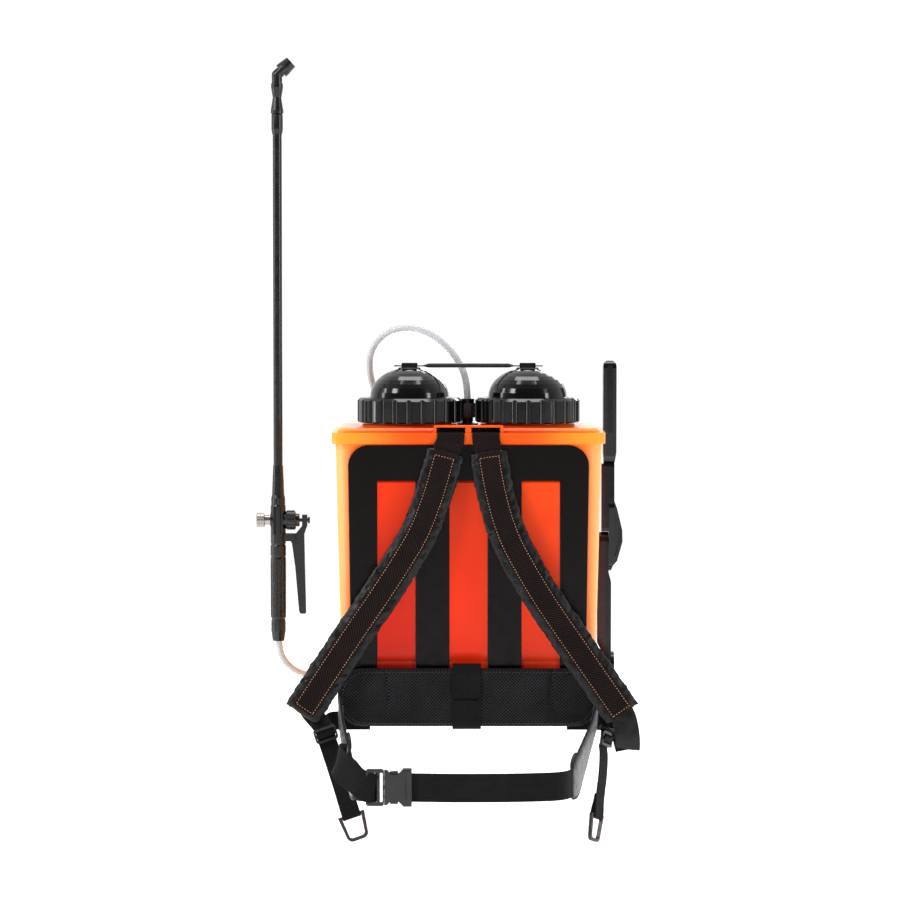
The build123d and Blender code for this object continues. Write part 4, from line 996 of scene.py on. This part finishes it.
def tail(side, label):
    """The adjuster's free end: through the adjuster's slots, down to a sewn loop round the ring's bar."""
    across, up, out = tail_axes(side)
    lock = TAIL_REACH[side]
    points = [tail_point(side, 0, lock + 9, -3.6), tail_point(side, 0, lock + 4.6, -1),
              tail_point(side, 0, lock, 5.4), tail_point(side, 0, lock - 4.6, -1),
              tail_point(side, 0, lock - 10, -4.6), tail_point(side, 0, lock - 18, -1.4),
              tail_point(side, 0, lock / 2 + 6, 1.4), tail_point(side, 0, 30, 1.2),
              tail_point(side, 0, 14, 2.2), tail_point(side, 0, 5, 3.5), tail_point(side, 0, 0, 3.5)]
    walk = smooth_line(points, 0.003)
    centre = tail_point(side, 0, 0)
    arc = [centre + (out * math.cos(a) + up * math.sin(a)) * 0.0033
           for a in [math.radians(-20 * k) for k in range(1, 10)]]
    back = smooth_line([arc[-1], centre - out * 0.0031 + up * 0.010, centre - out * 0.0012 + up * 0.018,
                        centre - out * 0.0006 + up * 0.029], 0.003)
    whole = walk + arc + back[1:]
    rings = []
    for k, point in enumerate(whole):
        tangent = (whole[min(k + 1, len(whole) - 1)] - whole[max(k - 1, 0)]).normalized()
        flat = (across - tangent * across.dot(tangent)).normalized()
        rings.append((point, tangent, flat, flat.cross(tangent).normalized()))
    made = band(f"tail_{label}", rings, TAIL_WIDTH, WEB_THICK, MATERIALS["webbing"], "webbing")
    rows = []
    for rise, depth in ((13, 2.6), (22, 2.0)):
        rows.append([(tail_point(side, -9 + 2.25 * k, rise, depth), out) for k in range(9)])
    stitches(f"tail_stitches_{label}", rows, DARK_THREAD)
    return made


def lower_webbing(side, label):
    """The webbing from the tank's lug, round the lumbar pad's end and twisting flat into the adjuster."""
    level = tail_axes(side)[0] * side
    lock = TAIL_REACH[side]
    hold = [tail_point(side, 0, lock + 8.6, -3.4), tail_point(side, 0, lock + 4.4, -2.2)]
    if side < 0:
        path = [at(-133, -7.3, 4.5), at(-172, -7.6, 4.5), at(-185, -9, 4.5), at(-190, -28, 4.5),
                at(-190.6, -50, 4)]
    else:
        path = [at(133, -7.3, 4.5), at(172, -7.6, 4.5), at(184, -8, 4), at(187.5, -17, -2)]
    walk = smooth_line(path + hold, 0.003)
    first = 0.80 if side < 0 else 0.66

    def across(t):
        twist = max(0.0, min(1.0, (t - first) / (1 - first)))
        return Z.slerp(level, 0.98 * twist) if twist > 0 else Z

    band(f"lower_webbing_{label}", across_rings(walk, across), TAIL_WIDTH, WEB_THICK,
         MATERIALS["webbing"], "webbing")


def right_flap():
    """The right strap's webbing past the pad's foot: a flap that folds under to the adjuster."""
    route = [on_strap(200.5, -342.6, 4.6), on_strap(205, -350, 5.2), on_strap(209.5, -361, 6.4),
             on_strap(213.5, -388, 5.4), on_strap(212.5, -398, 0.0)]
    rings = across_rings(smooth_line(route, 0.003), lambda t: Vector((1, 0, 0.38 * (1 - t))))
    band("foot_flap", rings, 0.033, 0.0016, MATERIALS["strap_fabric"], "strap_fabric")
    under = [on_strap(212.5, -398, 0.0), on_strap(210, -392, -7), on_strap(203, -372, -14),
             tail_point(1, 0, TAIL_REACH[1] + 15, -1.5), tail_point(1, 0, TAIL_REACH[1] + 8, -1.5)]
    level = tail_axes(1)[0]
    rings = across_rings(smooth_line(under, 0.003), lambda t: X.slerp(level, t))
    rings = [(*ring, 1.0 - 0.25 * k / len(rings)) for k, ring in enumerate(rings)]
    band("foot_flap_under", rings, 0.033, 0.0014, MATERIALS["webbing"], "webbing")


def left_tab():
    """The left strap's end, folded behind the pad's foot to the adjuster."""
    route = [on_strap(-216, -338, -5.2), on_strap(-214, -346, -7.5), on_strap(-205, -356, -7),
             tail_point(-1, 0, TAIL_REACH[-1] + 10, -2.4), tail_point(-1, 0, TAIL_REACH[-1] + 6, -1.5)]
    level = tail_axes(-1)[0]
    rings = across_rings(smooth_line(route, 0.003), lambda t: Vector((0.82, 0, 0.57)).slerp(level, t))
    band("foot_tab", rings, 0.026, 0.0014, MATERIALS["strap_fabric"], "strap_fabric")


first_tail = tail(-1, "left")
lower_webbing(-1, "left")
tail(1, "right")
lower_webbing(1, "right")
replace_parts(first_tail, "adjuster_webbings")
right_flap()
left_tab()


# Link strap between the caps ----------------------------------------------------------------------

def link_strap():
    """A moulded strap: a round rod between the caps with flat ends through both strap blocks."""
    mesh = bpy.data.meshes.new("link")
    bm = bmesh.new()
    rows = []
    for k in range(103):
        x = -102 + 2 * k
        flat = max(0.0, min(1.0, (abs(x) - 55) / 7))
        wide = 3.0 * (1 - flat) + 5.2 * flat
        tall = 3.0 * (1 - flat) + 1.1 * flat
        z = 482.6 - 0.4 * flat
        end = 1.0 if abs(x) < 100 else 0.8
        rows.append([bm.verts.new(at(x, 85 + wide * end * math.cos(a), z + tall * math.sin(a)))
                     for a in [2 * math.pi * m / 16 for m in range(16)]])
    join_rows(bm, rows)
    bm.faces.new(list(reversed(rows[0])))
    bm.faces.new(rows[-1])
    finish_mesh(bm, mesh)
    strap = new_piece("cap_link", mesh, MATERIALS["pump_plastic"], None)
    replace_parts(strap, "cap_link_strap")
    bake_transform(strap)


link_strap()


# Setting ------------------------------------------------------------------------------------------

def floor():
    mesh = bpy.data.meshes.new("floor")
    size = 14
    z = at(0, 0, -158).z
    corners = [(-size, -size, z), (size, -size, z), (size, size, z), (-size, size, z)]
    mesh.from_pydata(corners, [], [(0, 1, 2, 3)])
    piece = bpy.data.objects.new("floor", mesh)
    bpy.context.scene.collection.objects.link(piece)
    pale = material("floor_pale", Roughness=0.9, Specular_IOR_Level=0.1)
    finish_material(pale, mix_colour(pale, grain(pale, 3), (0.90, 0.90, 0.90, 1), (0.93, 0.93, 0.93, 1)))
    shader = pale.node_tree.nodes["Principled BSDF"]
    shader.inputs["Emission Color"].default_value = (1, 1, 1, 1)
    shader.inputs["Emission Strength"].default_value = 0.45
    mesh.materials.append(pale)


def softbox(name, place_at, target, size, power, tint=(1, 1, 1)):
    light = bpy.data.lights.new(name, "AREA")
    light.shape = "RECTANGLE"
    light.size, light.size_y = size
    light.energy = power
    light.color = tint
    lamp = bpy.data.objects.new(name, light)
    bpy.context.scene.collection.objects.link(lamp)
    lamp.location = place_at
    lamp.rotation_euler = (Vector(target) - lamp.location).to_track_quat("-Z", "Y").to_euler()


floor()
softbox("key", (-2.3, -1.9, 2.2), (0, 0, 0.2), (0.8, 1.6), 54)
softbox("fill", (2.6, -1.5, 1.0), (0, 0, 0.15), (0.5, 1.8), 28)
softbox("top", (0, 0.2, 2.6), (0, 0, 0.2), (1.6, 1.0), 30)
softbox("back", (0.6, 2.6, 1.6), (0, 0, 0.2), (1.6, 1.4), 26)
softbox("left_strip", (-2.4, -0.2, 0.8), (0, 0, 0.3), (0.30, 2.0), 16)
world = bpy.data.worlds.new("studio")
world.use_nodes = True
sky = world.node_tree
ahead = sky.nodes.new("ShaderNodeSeparateXYZ")
sky.links.new(sky.nodes.new("ShaderNodeTexCoord").outputs["Generated"], ahead.inputs[0])
glow = sky.nodes.new("ShaderNodeMapRange")
for key, value in (("From Min", -0.7), ("From Max", 0.6), ("To Min", 0.10), ("To Max", 1.1)):
    glow.inputs[key].default_value = value
sky.links.new(ahead.outputs["Y"], glow.inputs["Value"])
sky.links.new(glow.outputs[0], sky.nodes["Background"].inputs["Strength"])
sky.nodes["Background"].inputs["Color"].default_value = (1, 1, 1, 1)
bpy.context.scene.world = world
bpy.context.scene.view_settings.view_transform = "Standard"
